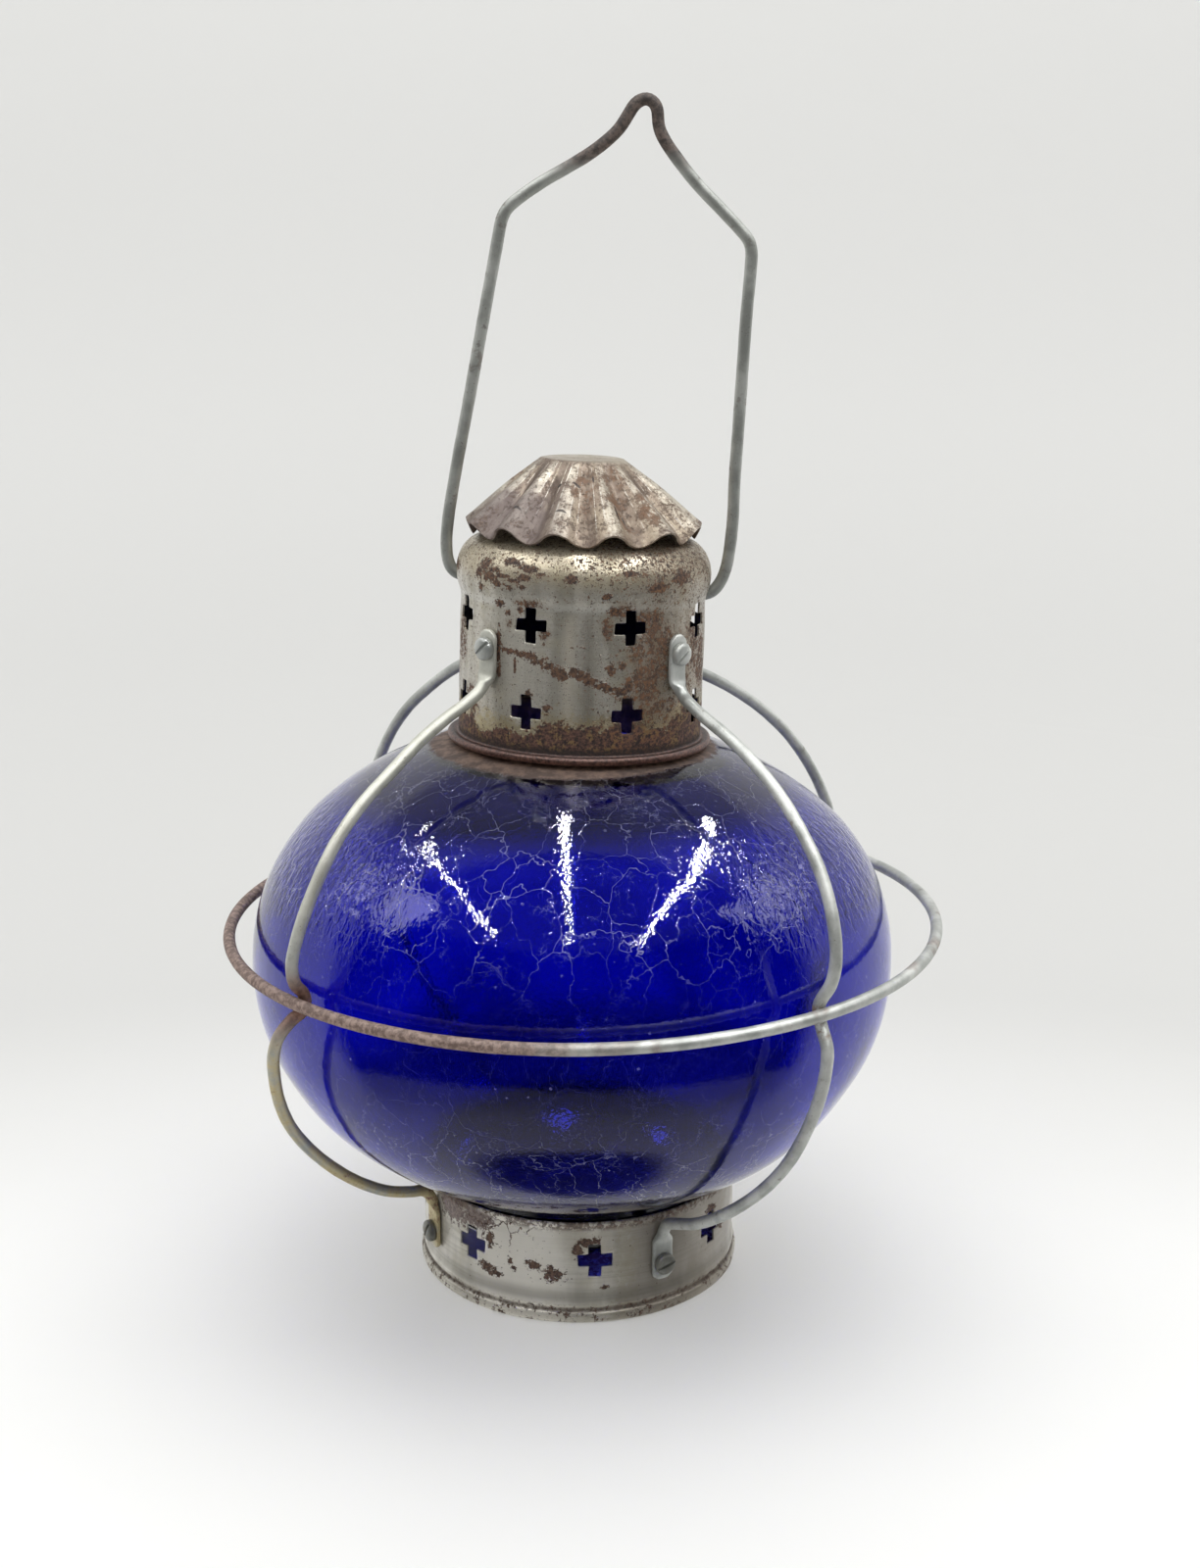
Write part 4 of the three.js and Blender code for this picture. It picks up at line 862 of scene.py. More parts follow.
def wire_material(name, kind):
    """galvanised wire, rusted where the photograph shows it"""
    s = Shade(name)
    x, y, z = s.split(s.vmath("SCALE", s.obj, 1000.0))
    mid = s.noise(90, 4, 0.6)
    edge = s.noise(520, 5, 0.7)
    fine = s.noise(2400, 3, 0.6)
    long = s.noise(240, 3, 0.5)
    col = s.mix(s.rng(mid, 0.35, 0.65), srgb(168, 171, 167), srgb(204, 206, 202))
    col = s.mix(s.mul(s.rng(long, 0.5, 0.75), 0.35), col, srgb(138, 141, 138))
    wob = s.mul(s.sub(mid, 0.5), 30.0)
    rustcol = s.mix(s.rng(edge, 0.38, 0.62), srgb(84, 68, 60), srgb(124, 104, 92))
    if kind == "ring":
        where = s.mul(s.rng(s.add(x, s.mul(wob, 1.6)), 26, -30), s.rng(s.add(s.mul(edge, 0.5), mid), 0.30, 0.62))
        where = s.mx(where, s.mul(s.rng(s.noise(60, 3, 0.6), 0.54, 0.64), 0.55))
        rustcol = s.mix(s.rng(edge, 0.40, 0.62), srgb(108, 88, 80), srgb(158, 136, 126))
    elif kind == "bail":
        where = s.rng(s.add(z, s.mul(wob, 0.4)), 346, 354)
        where = s.mx(where, s.mul(s.rng(s.noise(140, 4, 0.65), 0.60, 0.68), 0.6))
        rustcol = s.mix(s.rng(edge, 0.38, 0.62), srgb(62, 54, 50), srgb(106, 92, 84))
        col = s.mix(0.4, col, srgb(112, 114, 106))
    elif kind == "front_left":
        near = s.mul(s.rng(s.math("ABSOLUTE", s.sub(z, 117)), 16, 3), 1.0)
        low = s.rng(z, 114, 96)
        yellow = s.mul(low, s.rng(s.add(mid, s.mul(edge, 0.3)), 0.45, 0.75))
        # painted light: the rib is lighter from the guard ring upwards
        col = s.mix(s.mul(s.rng(z, 120, 150), 0.45), col, srgb(196, 194, 176))
        col = s.mix(s.mul(yellow, 0.85), col, srgb(196, 180, 132))
        where = s.mx(near, s.mul(low, s.rng(s.add(s.mul(edge, 0.5), s.mul(mid, 0.5)), 0.56, 0.64)))
        rustcol = s.mix(s.rng(edge, 0.38, 0.62), srgb(96, 66, 56), srgb(132, 98, 82))
    else:
        where = s.mul(s.rng(s.math("ABSOLUTE", s.sub(z, 117)), 7, 2), s.rng(edge, 0.45, 0.6))
        where = s.mx(where, s.mul(s.rng(s.noise(160, 4, 0.65), 0.62, 0.70), 0.55))
    specks = s.mul(s.rng(s.noise(1700, 2, 0.6), 0.66, 0.70), 0.55)
    rust = s.mx(where, specks)
    col = s.mix(rust, col, rustcol)
    rough = s.mixf(rust, s.mixf(s.rng(mid, 0.3, 0.7), 0.40, 0.54), 0.66)
    h = s.add(s.mul(fine, 0.14), s.add(s.mul(long, 0.3), s.mul(s.mul(rust, edge), 0.32)))
    return s.done(Base_Color=col, Roughness=rough, Metallic=s.mixf(rust, 0.5, 0.15), Normal=s.bump(h, 0.0002, 0.6))


M_CHIM = chimney_material()
M_SOOT = soot_material()
M_BASE = base_material()
# painted shade: darker steel for the inside of the base ring
M_SHADED_INSIDE = steel("shaded_inside_steel", srgb(96, 92, 84), srgb(62, 58, 52), srgb(84, 72, 56), RUST_D, RUST_M, speck=0.6, rust=0.4, rough=(0.5, 0.7), metal=0.4)
M_CAP = cap_material()
M_GLASS = glass_material()
M_RING = wire_material("ring_wire_steel", "ring")
M_BAIL = wire_material("bail_wire_steel", "bail")
M_RIB = {"front_left": wire_material("rib_wire_stained", "front_left")}
for c in CORNERS[1:]:
    M_RIB[c] = M_RIB.get("other") or M_RIB.setdefault("other", wire_material("rib_wire_steel", "other"))
M_ZINC = steel("zinc_screw", srgb(204, 206, 202), srgb(160, 163, 160), srgb(186, 186, 176), RUST_M, RUST_L, speck=0.35, rust=0.0, rough=(0.30, 0.46), metal=0.5, fine=3.0)
M_DARKZINC = steel("dark_zinc_screw", srgb(134, 134, 128), srgb(98, 99, 94), srgb(126, 120, 104), RUST_D, RUST_M, speck=0.6, rust=0.12, rough=(0.34, 0.5), metal=0.4, fine=3.0)
M_NUT = steel("nut_steel", srgb(140, 140, 136), srgb(100, 100, 98), srgb(120, 112, 96), RUST_D, RUST_M, speck=0.6, rust=0.3, rough=(0.36, 0.55), fine=3.0)
M_TIN = steel("tray_tin", srgb(186, 184, 176), srgb(142, 140, 133), srgb(170, 162, 134), RUST_D, RUST_M, speck=0.6, rust=0.35, rough=(0.3, 0.5), drawn=(500, 500, 500))
M_SPRING = steel("spring_steel", srgb(122, 124, 128), srgb(88, 90, 94), srgb(104, 98, 88), RUST_D, RUST_M, speck=0.5, rust=0.2, rough=(0.28, 0.45), fine=2.0)


# ------------------------------------------------------------------ base ring
def base_radius(z):
    return BASE_WALL_R


def make_base():
    t = SHEET
    R = BASE_WALL_R
    outer = [(R - 0.95, 0.0), (52.0, 0.0), (52.62, 0.42), (52.82, 1.2), (52.8, 2.7), (52.5, 3.4), (51.95, 3.85), (51.62, 4.2), (R + 0.16, 4.7), (R + 0.5, 5.3), (R + 0.56, 6.1), (R + 0.4, 7.1), (R + 0.14, 8.1), (R, 9.2), (R, 12), (R - 0.05, 20), (R, 28),
             (R, 31.9), (R + 0.18, 32.6), (R + 0.5, 33.1), (R + 0.56, 33.8), (R + 0.3, 34.3), (R - 0.15, 34.4), (R - 0.5, 34.15), (R - t, 33.4)]
    inner = [(R - t, 28), (R - t, 12), (R - t, 9.2), (R - t + 0.3, 7.4), (R - t + 0.45, 6.1), (R - t + 0.15, 4.9), (R - t + 0.05, 3.9), (R + 0.2, 2.9), (R + 0.35, 1.6), (R - 0.1, 0.85), (R - 0.75, 0.6)]
    p = thin(round_loop(outer + inner, 0.8, 2), 1.6)
    v, f = revolve(p, 288)
    nf = len(p)
    ob = build("base_ring_sheet", in_base(v), f, [M_BASE, M_SHADED_INSIDE], None)
    parts = [wall_cutter(cross_outline(10.9, 11.1, 4.2, 0.2, 11 + i), az, BASE_CROSS_Z, base_radius, in_base) for i, az in enumerate(BASE_CROSS_AZ)]
    parts += [wall_cutter(round_outline(2.2), az, BASE_SCREW_Z, base_radius, in_base) for az in BASE_SCREW_AZ.values()]
    cut(ob, parts)
    # inward faces of the wall take the darker steel, a painted shade
    for poly in ob.data.polygons:
        c = np.array(poly.center) / MM - np.array([AXIS_X, 0, 0])
        n = poly.normal
        inward = (n[0] * c[0] + n[1] * c[1]) / math.hypot(c[0], c[1])
        poly.material_index = 1 if inward < -0.6 and 4.5 < c[2] < 33.4 else 0
    dent(ob, 0.22, 17.0, 3.1)
    finish_mesh(ob, 42)
    place(ob, "lantern", "base_ring")
    return ob


# ------------------------------------------------------------------ chimney
CH_OUT = [(38.1, 2.9), (38.1, 8.0), (38.1, 16.0), (38.1, 25.0), (38.0, 36.0), (37.85, 42.0), (37.82, 43.4), (38.0, 44.8), (38.45, 46.4), (38.95, 48.0), (39.25, 49.7), (39.36, 51.4),
          (39.3, 53.2), (38.95, 55.0), (38.25, 56.9), (37.25, 58.6), (35.9, 60.1), (34.2, 61.3), (32.0, 62.2), (29.0, 63.1), (25.5, 64.0), (22.0, 64.7)]


def chimney_radius(h):
    return float(np.interp(h, [q[1] for q in CH_OUT[:14]], [q[0] for q in CH_OUT[:14]]))


def make_chimney():
    t = SHEET
    wall = catmull(CH_OUT, 8)
    # inner skin by the wall's own normal
    tan = np.gradient(wall, axis=0)
    tan /= np.linalg.norm(tan, axis=1)[:, None]
    inner = wall - np.stack([tan[:, 1], -tan[:, 0]], 1) * t
    bead = [(38.35, -0.9), (39.0, -1.38), (39.8, -1.5), (40.6, -1.28), (41.18, -0.75), (41.4, 0.0), (41.2, 0.68), (40.65, 1.14), (39.9, 1.26), (39.2, 1.08), (38.6, 0.86), (38.15, 1.05), (37.98, 1.7)]
    lip = [(20.6, 65.0), (20.1, 65.0), (20.0, 64.7), (20.3, 64.25)]
    low = [(37.3, 2.4), (37.25, 1.0), (37.6, -0.1)]
    pts = [np.array(q) for q in bead] + list(wall) + [np.array(q) for q in lip] + list(inner[::-1]) + [np.array(q) for q in low]
    p = thin(round_loop(pts, 0.9, 1), 1.5)
    v, f = revolve(p, 288)
    # the soot inside starts behind the wall's middle line
    ob = build("chimney_sheet", in_chimney(v), f, [M_CHIM, M_SOOT], None)
    parts = []
    for k, (azs, h) in enumerate(((CROSS_UP_AZ, CROSS_UP_H), (CROSS_LOW_AZ, CROSS_LOW_H))):
        parts += [wall_cutter(cross_outline(10.2, 10.5, 3.5, 0.2, 40 + 10 * k + i), az, h, chimney_radius, in_chimney) for i, az in enumerate(azs)]
    parts += [wall_cutter(round_outline(2.2), az, CH_SCREW_H, chimney_radius, in_chimney) for az in CH_SCREW_AZ.values()]
    parts += [wall_cutter(round_outline(2.35), az, h, chimney_radius, in_chimney, -2.6, 1.6) for az, h, r in PIVOTS]
    cut(ob, parts)
    # faces that look inwards are sooty
    me = ob.data
    inv = np.linalg.inv(CH_M)
    for poly in me.polygons:
        c = inv @ (np.array(poly.center) / MM - CH_O)
        n = inv @ np.array(poly.normal)
        r = math.hypot(c[0], c[1])
        inward = (n[0] * c[0] + n[1] * c[1]) / max(r, 1e-6)
        under = n[2] < -0.5 and c[2] > 55
        poly.material_index = 1 if (inward < -0.6 and c[2] > 2.0) or under else 0
    dent(ob, 0.22, 15.0, 7.7, lambda z: (CH_O[0] + (z - 177.85) * math.tan(CH_TILT_Y), (z - 177.85) * math.tan(-CH_TILT_X)))
    finish_mesh(ob, 42)
    place(ob, "lantern", "chimney_shell")
    return ob


# ------------------------------------------------------------------ vent cap
def make_cap():
    n = len(CAP_VALLEYS)
    per = 26
    rng = np.random.default_rng(5)
    jag = rng.uniform(-1, 1, (n, 3))
    az, w, fl = [], [], []
    for i in range(n):
        a = CAP_VALLEYS[i]
        b = CAP_VALLEYS[i + 1] if i + 1 < n else CAP_VALLEYS[0] + 360
        for k in range(per):
            q = k / per
            az.append(a + (b - a) * q)
            c = -math.cos(2 * math.pi * q)
            w.append(c)
            fl.append((jag[i] * (1 - abs(2 * q - 1)) if False else jag[i] * math.sin(math.pi * q)))
    az, w, fl = np.array(az), np.array(w), np.array(fl)
    m = len(az)
    ts = np.r_[np.linspace(0, 0.985, 44), 1.0]
    top_r = 12.9

    def skin(drop):
        rows = []
        # flat top with its rounded edge
        for r in (0.0, 3.0, 6.0, 9.0, 11.0, 12.0):
            wob = 0.12 * np.sin(np.radians(az) * 2 + r) * (r / 12)
            rows.append(np.stack([r * np.cos(np.radians(az)) - 1.1, r * np.sin(np.radians(az)), 86.18 - 0.0004 * r * r + 0.4 * wob - drop + 0 * az], 1))
        for t in ts:
            # creases: keen near the top, rounder at the rim
            keen = 1.55 - 0.75 * t
            ww = np.sign(w) * np.abs(w) ** np.where(w > 0, keen, 0.9)
            amp = ww * (0.25 + 0.75 * min(1.0, t * 2.6)) * min(1.0, t * 9)
            r1 = (36.8 + 34.5) / 2 + amp * (36.8 - 34.5) / 2 + fl[:, 0] * 0.45
            h1 = (67.0 + 62.9) / 2 + amp * (67.0 - 62.9) / 2 + fl[:, 1] * 0.35
            r = top_r + (r1 - top_r) * t
            round_off = 0.55 * math.exp(-t * 22)
            h = 86.1 + (h1 - 86.1) * t - round_off * 0.35
            # flutes are deepest from a third of the way down
            h = h + (ww - 0.15) * 0.62 * math.sin(math.pi * min(1.0, t * 1.12)) * min(1.0, t * 9)
            lean = np.radians(az + fl[:, 2] * 1.2 * t)
            rows.append(np.stack([r * np.cos(lean) - 1.1 * (1 - t), r * np.sin(lean), h - drop + 0 * az], 1))
        return np.array(rows)

    top = skin(0.0)
    rows, cols = top.shape[:2]
    # inner skin follows the outer one's normal
    du = np.roll(top, -1, 1) - np.roll(top, 1, 1)
    dv = np.gradient(top, axis=0)
    nor = np.cross(dv, du)
    l = np.linalg.norm(nor, axis=2, keepdims=True)
    nor = np.where(l > 1e-6, nor / np.maximum(l, 1e-9), np.array([0, 0, 1.0]))
    nor *= np.where(nor[:, :, 2:3] < 0, -1, 1)
    low = top - nor * 0.62
    low[0] = [-1.1, 0, top[0, 0, 2] - 0.62]
    v = np.concatenate([top.reshape(-1, 3), low.reshape(-1, 3)])
    f = []
    for i in range(rows - 1):
        for j in range(cols):
            k = (j + 1) % cols
            a, b, c, d = i * cols + j, i * cols + k, (i + 1) * cols + k, (i + 1) * cols + j
            f.append((a, d, c, b))
            o = rows * cols
            f.append((a + o, b + o, c + o, d + o))
    e, o = (rows - 1) * cols, rows * cols
    for j in range(cols):
        k = (j + 1) % cols
        f.append((e + j, o + e + j, o + e + k, e + k))
    v = v + np.array([CAP_X, 0, 0])
    return build("vent_cap_sheet", in_chimney(v), f, M_CAP, "lantern", "vent_cap", sharp=55, weld=0.002)


# ------------------------------------------------------------------ glass globe
GLASS = [(48.3, 23.4), (48.7, 30.0), (49.4, 34.2), (52.4, 36.6), (57.5, 39.9), (63.5, 43.2), (71.5, 48.0), (79.5, 54.4), (86.8, 62.4), (92.7, 71.2), (97.7, 80.8), (101.0, 91.0), (102.5, 101.4),
         (102.4, 112.2), (100.5, 122.7), (96.9, 132.6), (91.7, 141.7), (85.2, 149.8), (77.6, 156.6), (69.6, 162.4), (61.6, 167.2), (54.0, 171.0), (47.6, 173.6), (42.6, 175.0), (38.6, 175.7),
         (36.3, 177.0), (35.7, 179.2), (35.6, 182.6)]


def lean_glass(v):
    x, y, z = v[:, 0].copy(), v[:, 1], v[:, 2]
    sm = lambda a, b, q: (lambda t: t * t * (3 - 2 * t))(np.clip((q - a) / (b - a), 0, 1))
    top, foot = sm(118, 172, z), 1 - sm(36, 70, z)
    lift = (-x * math.tan(CH_TILT_Y) + y * math.tan(CH_TILT_X)) * top
    out = v.copy()
    out[:, 0] = x + 2.13 * top + 1.93 * foot
    out[:, 2] = z + lift
    return out


def make_globe():
    wall, _ = resample(catmull(GLASS, 10), 1.5)
    tan = np.gradient(wall, axis=0)
    tan /= np.linalg.norm(tan, axis=1)[:, None]
    nrm = np.stack([tan[:, 1], -tan[:, 0]], 1)
    t = 2.5
    inner = wall - nrm * t
    inner[:, 0] = np.where((wall[:, 1] > 173.5), np.minimum(inner[:, 0], 33.1 + 0 * inner[:, 0]), inner[:, 0])
    low_lip = [(47.9, 22.75), (47.1, 22.45), (46.3, 22.75)]
    top_lip = [(35.3, 183.15), (34.4, 183.4), (33.5, 183.1)]
    sel = [i for i in range(len(inner)) if 24.2 < wall[i, 1] < 182.2]
    keep = []
    for i in sel[::-1]:
        if not keep or np.linalg.norm(inner[i] - keep[-1]) > 0.7:
            keep.append(inner[i])
    prof = np.array(list(wall[1:-1]) + top_lip + keep + [(46.05, 23.5)] + low_lip[::-1])
    n = 288
    v, f = revolve(prof, n)
    # blown glass is never quite round: slow swells outside, others inside
    nw = len(wall) - 2 + 3
    nv = len(prof)
    out = v.copy()
    outer_mask = (np.arange(len(v)) % nv) < nw
    for i, p in enumerate(v):
        z = p[2]
        free = min(1.0, max(0.0, (z - 44) / 20)) * min(1.0, max(0.0, (168 - z) / 18))
        if free <= 0:
            continue
        if outer_mask[i]:
            d = noise.noise(Vector((p[0] / 40, p[1] / 40, p[2] / 52))) * 0.17 + noise.noise(Vector((p[0] / 13 + 9, p[1] / 13, p[2] / 24))) * 0.012
        else:
            d = noise.noise(Vector((p[0] / 30 + 5, p[1] / 30, p[2] / 38 + 3))) * 0.32 + noise.noise(Vector((p[0] / 10 + 2, p[1] / 10, p[2] / 19))) * 0.04
        d *= free
        l = math.hypot(p[0], p[1])
        out[i, 0] += p[0] / l * d
        out[i, 1] += p[1] / l * d
    v = lean_glass(out) + np.array([GLASS_X, 0, 0])
    return build("glass_globe_blown", v, f, M_GLASS, "lantern", "glass_globe", sharp=80)


# ------------------------------------------------------------------ wires
def sweep(path, side_hint, half_w, half_t, sides=24, square=None):
    """a wire whose section may flatten: half_w across, half_t along the hint direction"""
    p = np.asarray(path, float)
    n = len(p)
    tan = np.gradient(p, axis=0)
    tan /= np.linalg.norm(tan, axis=1)[:, None]
    hint = np.asarray(side_hint, float)
    if hint.ndim == 1:
        hint = np.tile(hint, (n, 1))
    nor = hint - (hint * tan).sum(1)[:, None] * tan
    nor /= np.maximum(np.linalg.norm(nor, axis=1)[:, None], 1e-9)
    bi = np.cross(tan, nor)
    ang = (np.arange(sides) + 0.5) / sides * 2 * np.pi
    c, s = np.cos(ang), np.sin(ang)
    v = []
    for i in range(n):
        k = 1.0 if square is None else square[i]
        cc = np.sign(c) * np.abs(c) ** k
        ss = np.sign(s) * np.abs(s) ** k
        v.append(p[i] + np.outer(cc * half_w[i], bi[i]) + np.outer(ss * half_t[i], nor[i]))
    v = np.concatenate(v)
    f = grid_faces(n, sides, False, True)
    # rounded ends
    for end, sgn in ((0, -1), (n - 1, 1)):
        base = end * sides
        ring = list(range(base, base + sides))
        c0 = p[end]
        prev = ring
        for q, push in ((0.82, 0.45), (0.45, 0.8)):
            start = len(v)
            rp = c0 + (v[base:base + sides] - c0) * q + sgn * tan[end] * push * half_t[end]
            v = np.concatenate([v, rp])
            cur = list(range(start, start + sides))
            for j in range(sides):
                jj = (j + 1) % sides
                f.append((prev[j], prev[jj], cur[jj], cur[j]))
            prev = cur
        v = np.concatenate([v, (c0 + sgn * tan[end] * 0.9 * half_t[end])[None]])
        tip = len(v) - 1
        for j in range(sides):
            f.append((prev[j], prev[(j + 1) % sides], tip))
    return v, f


def ring_at(az):
    a = np.radians(np.arange(0, 360, 0.25))
    p = np.stack([RING_R * np.cos(a), RING_R * np.sin(a), 0 * a], 1) @ RING_M.T + np.array([0, 0, RING_Z])
    d = np.degrees(np.arctan2(p[:, 1], p[:, 0] - AXIS_X)) - az
    d = np.abs((d + 540) % 360 - 180)
    i = int(np.argmin(d))
    return math.hypot(p[i, 0] - AXIS_X, p[i, 1]), p[i, 2]


def make_ring():
    n = 360
    a = np.linspace(0, 2 * np.pi, n, endpoint=False)
    sides = 24
    b = np.linspace(0, 2 * np.pi, sides, endpoint=False)
    v = []
    for t in a:
        # a hammered, hand-bent hoop: it wanders by a tenth of a millimetre or two
        wr = 0.12 * math.sin(3 * t + 0.6) + 0.08 * math.sin(7 * t)
        wz = 0.14 * math.sin(2 * t + 1.1) + 0.08 * math.sin(5 * t + 0.4)
        r = WIRE_R * (1 + 0.012 * math.sin(23 * t))
        for q in b:
            v.append(((RING_R - 0.12 + 0.5 * wr + r * math.cos(q)) * math.cos(t), (RING_R - 0.12 + 0.5 * wr + r * math.cos(q)) * math.sin(t), r * math.sin(q) + wz))
    v = np.array(v) @ RING_M.T + np.array([0, 0, RING_Z])
    return build("guard_ring_wire", v, grid_faces(n, sides), M_RING, "lantern", "guard_ring", sharp=60)


RIBS = {
    "front_left": [
        [46.6, 194.9, -136.2], [53.5, 192.0, -136.3], [63.5, 186.9, -136.4], [75.0, 179.3, -136.4], [86.2, 171.4, -136.5],
        [95.9, 161.8, -136.5], [104.2, 149.2, -136.6], [110.4, 136.4, -136.6], [112.4, 128.6, -136.7], [111.4, 122.6, -136.7],
        "notch", [111.6, 111.9, -137.5], [115.4, 107.0, -138.4], [116.1, 100.8, -139.5], [114.4, 92.6, -141.0], [111.2, 82.6, -142.8],
        [106.3, 72.2, -144.6], [99.2, 61.9, -146.4], [90.0, 51.6, -148.2], [79.6, 42.5, -149.9], [69.2, 36.2, -151.0], [60.5, 33.6, -151.6]],
    "front_right": [
        [45.6, 194.9, -43.6], [52.5, 191.9, -44.8], [61.5, 188.6, -45.9], [72.6, 183.0, -46.5], [84.4, 175.5, -47.3],
        [95.8, 166.1, -48.4], [104.5, 156.0, -49.1], [110.8, 144.9, -50.0], [113.7, 134.2, -50.7], [113.2, 127.2, -51.3],
        "notch", [111.9, 114.3, -52.2], [115.4, 109.2, -52.7], [116.1, 102.4, -53.2], [115.3, 94.2, -53.9], [112.3, 83.8, -54.8],
        [107.6, 73.4, -55.7], [100.6, 63.6, -56.5], [90.9, 53.6, -57.4], [79.6, 44.5, -58.1], [69.0, 37.8, -58.7], [60.8, 34.2, -59.1]],
    "rear_right": [
        [45.6, 194.6, 44.0], [52.5, 190.6, 43.6], [61.5, 186.2, 43.0], [72.6, 180.2, 42.4], [84.4, 172.0, 41.4],
        [95.0, 162.4, 40.4], [103.6, 151.6, 39.6], [110.2, 139.8, 38.8], [113.2, 130.6, 38.2], [112.2, 124.6, 38.0],
        "notch", [112.2, 112.9, 37.6], [115.2, 107.6, 37.0], [115.8, 101.2, 36.4], [114.6, 93.2, 35.8], [111.4, 82.8, 35.0],
        [106.6, 72.6, 34.2], [99.8, 62.6, 33.4], [90.4, 52.6, 32.8], [79.6, 43.4, 32.2], [69.0, 36.8, 31.9], [60.8, 33.8, 31.7]],
    "rear_left": [
        [46.6, 195.6, 134.2], [53.5, 192.6, 134.2], [63.5, 187.2, 134.0], [75.0, 179.6, 133.8], [85.6, 171.4, 133.6],
        [95.0, 161.6, 133.4], [103.2, 149.6, 133.2], [109.4, 136.8, 133.0], [111.8, 127.8, 133.0], [111.0, 121.6, 133.0],
        "notch", [111.2, 110.4, 132.6], [114.8, 105.4, 132.0], [115.6, 99.4, 131.0], [114.2, 91.4, 129.6], [110.8, 81.6, 127.8],
        [105.8, 71.4, 126.0], [99.0, 61.4, 124.2], [90.0, 51.4, 122.6], [79.4, 42.6, 121.0], [69.0, 36.4, 120.2], [60.6, 33.6, 119.8]],
}
NOTCH_AZ = {"front_left": -136.8, "front_right": -52.0, "rear_right": 37.8, "rear_left": 133.0}


def make_rib(corner):
    up, down = CH_SCREW_AZ[corner], BASE_SCREW_AZ[corner]
    rr, rz = ring_at(NOTCH_AZ[corner])
    seat = rr - 2 * WIRE_R - 0.25
    az0 = NOTCH_AZ[corner]
    keys = []
    for k in RIBS[corner]:
        keys += [[seat + 0.8, rz + 2.9, az0], [seat, rz, az0], [seat + 0.8, rz - 2.9, az0]] if k == "notch" else [k]
    mid = [in_base(polar(r, az, z))[0] for r, z, az in keys]
    rt = 38.1 + 0.3 + 0.75
    start = [in_chimney(polar(r, up, h))[0] for r, h in ((rt, 36.2), (rt, 33), (rt, 29), (rt, 26), (rt + 0.05, 24.0), (rt + 0.5, 22.0), (40.7, 20.3), (42.2, 18.4))]
    lt = BASE_WALL_R + 0.3 + 0.75
    end = [in_base(polar(r, down, z))[0] for r, z in ((56.4, 32.5), (54.4, 30.9), (53.2, 28.4), (lt + 0.1, 25.6), (lt, 22.6), (lt, 18), (lt, 12.5))]
    p = catmull(start + mid + end, 14)
    p, s = resample(p, 0.9)
    p = soften(p, 2)
    L = s[-1]
    # outward direction at every point
    c = np.stack([p[:, 0] - AXIS_X, p[:, 1], 0 * p[:, 0]], 1)
    c[:, 2] = 0.9 * np.clip((p[:, 2] - 150) / 40, 0, 1) * 30 * (s > 22)
    hint = c / np.linalg.norm(c, axis=1)[:, None]
    up_dir = in_chimney(polar(40, up, 30))[0] - in_chimney(polar(0, 0, 30))[0]
    dn_dir = polar(1, down, 0)
    bl = np.clip((22 - s) / 8, 0, 1)[:, None]
    hint = hint * (1 - bl) + bl * up_dir / np.linalg.norm(up_dir)
    bl = np.clip((s - (L - 22)) / 8, 0, 1)[:, None]
    hint = hint * (1 - bl) + bl * dn_dir
    # width and thickness along the wire: hammered flat at both ends
    sm = lambda a, b, q: (lambda t: t * t * (3 - 2 * t))(np.clip((q - a) / (b - a), 0, 1))
    wob = 1 + 0.012 * np.sin(s * 0.35 + 1.3) + 0.008 * np.sin(s * 0.9)
    fu = 1 - sm(13.6, 16.6, s)
    fl = sm(L - 16.0, L - 12.5, s)
    flat = np.maximum(fu, fl)
    taper_u = np.clip(1 - np.clip((2.6 - s) / 2.6, 0, 1) ** 2.6, 0.02, 1) ** (1 / 2.6)
    q = np.clip((s - (L - 1.3)) / 1.3, 0, 1)
    taper_l = 1 - 0.35 * q ** 2
    half_w = (WIRE_R * (1 - flat) + (3.45 * fu + 3.55 * fl) / np.maximum(fu + fl, 1e-6) * flat) * wob
    half_w = half_w * np.where(s < 2.6, np.maximum(taper_u, 0.55), 1) * np.where(s > L - 1.3, taper_l, 1)
    half_t = WIRE_R * (1 - flat) + 0.75 * flat
    half_t = half_t * wob
    square = 1 - 0.62 * flat
    v, f = sweep(p, hint, half_w, half_t, 28, square)
    mats = [M_RIB[corner]]
    ob = build("rib_wire_" + corner, v, f, mats, None, sharp=50)
    # screw holes through the flats
    parts = []
    hole = [(TAB_HOLE * math.cos(a), TAB_HOLE * math.sin(a)) for a in np.linspace(0, 2 * math.pi, 25)[:-1]]
    for fn, az, h, r0 in ((in_chimney, up, CH_SCREW_H, 38.1), (in_base, down, BASE_SCREW_Z, BASE_WALL_R)):
        pv = []
        o = np.array([math.cos(rad(az)), math.sin(rad(az)), 0])
        sd = np.array([-math.sin(rad(az)), math.cos(rad(az)), 0])
        for off in (-0.8, 3.2):
            for a, b in hole:
                pv.append(o * (r0 + off) + sd * a + np.array([0, 0, h + b]))
        nh = len(hole)
        pf = [(i, (i + 1) % nh, nh + (i + 1) % nh, nh + i) for i in range(nh)] + [tuple(range(nh)), tuple(range(nh, 2 * nh))]
        parts.append((fn(pv), pf))
    cut(ob, parts)
    finish_mesh(ob, 50)
    place(ob, "lantern", "guard_rib_" + corner)
    return ob


TAB_HOLE = 2.15

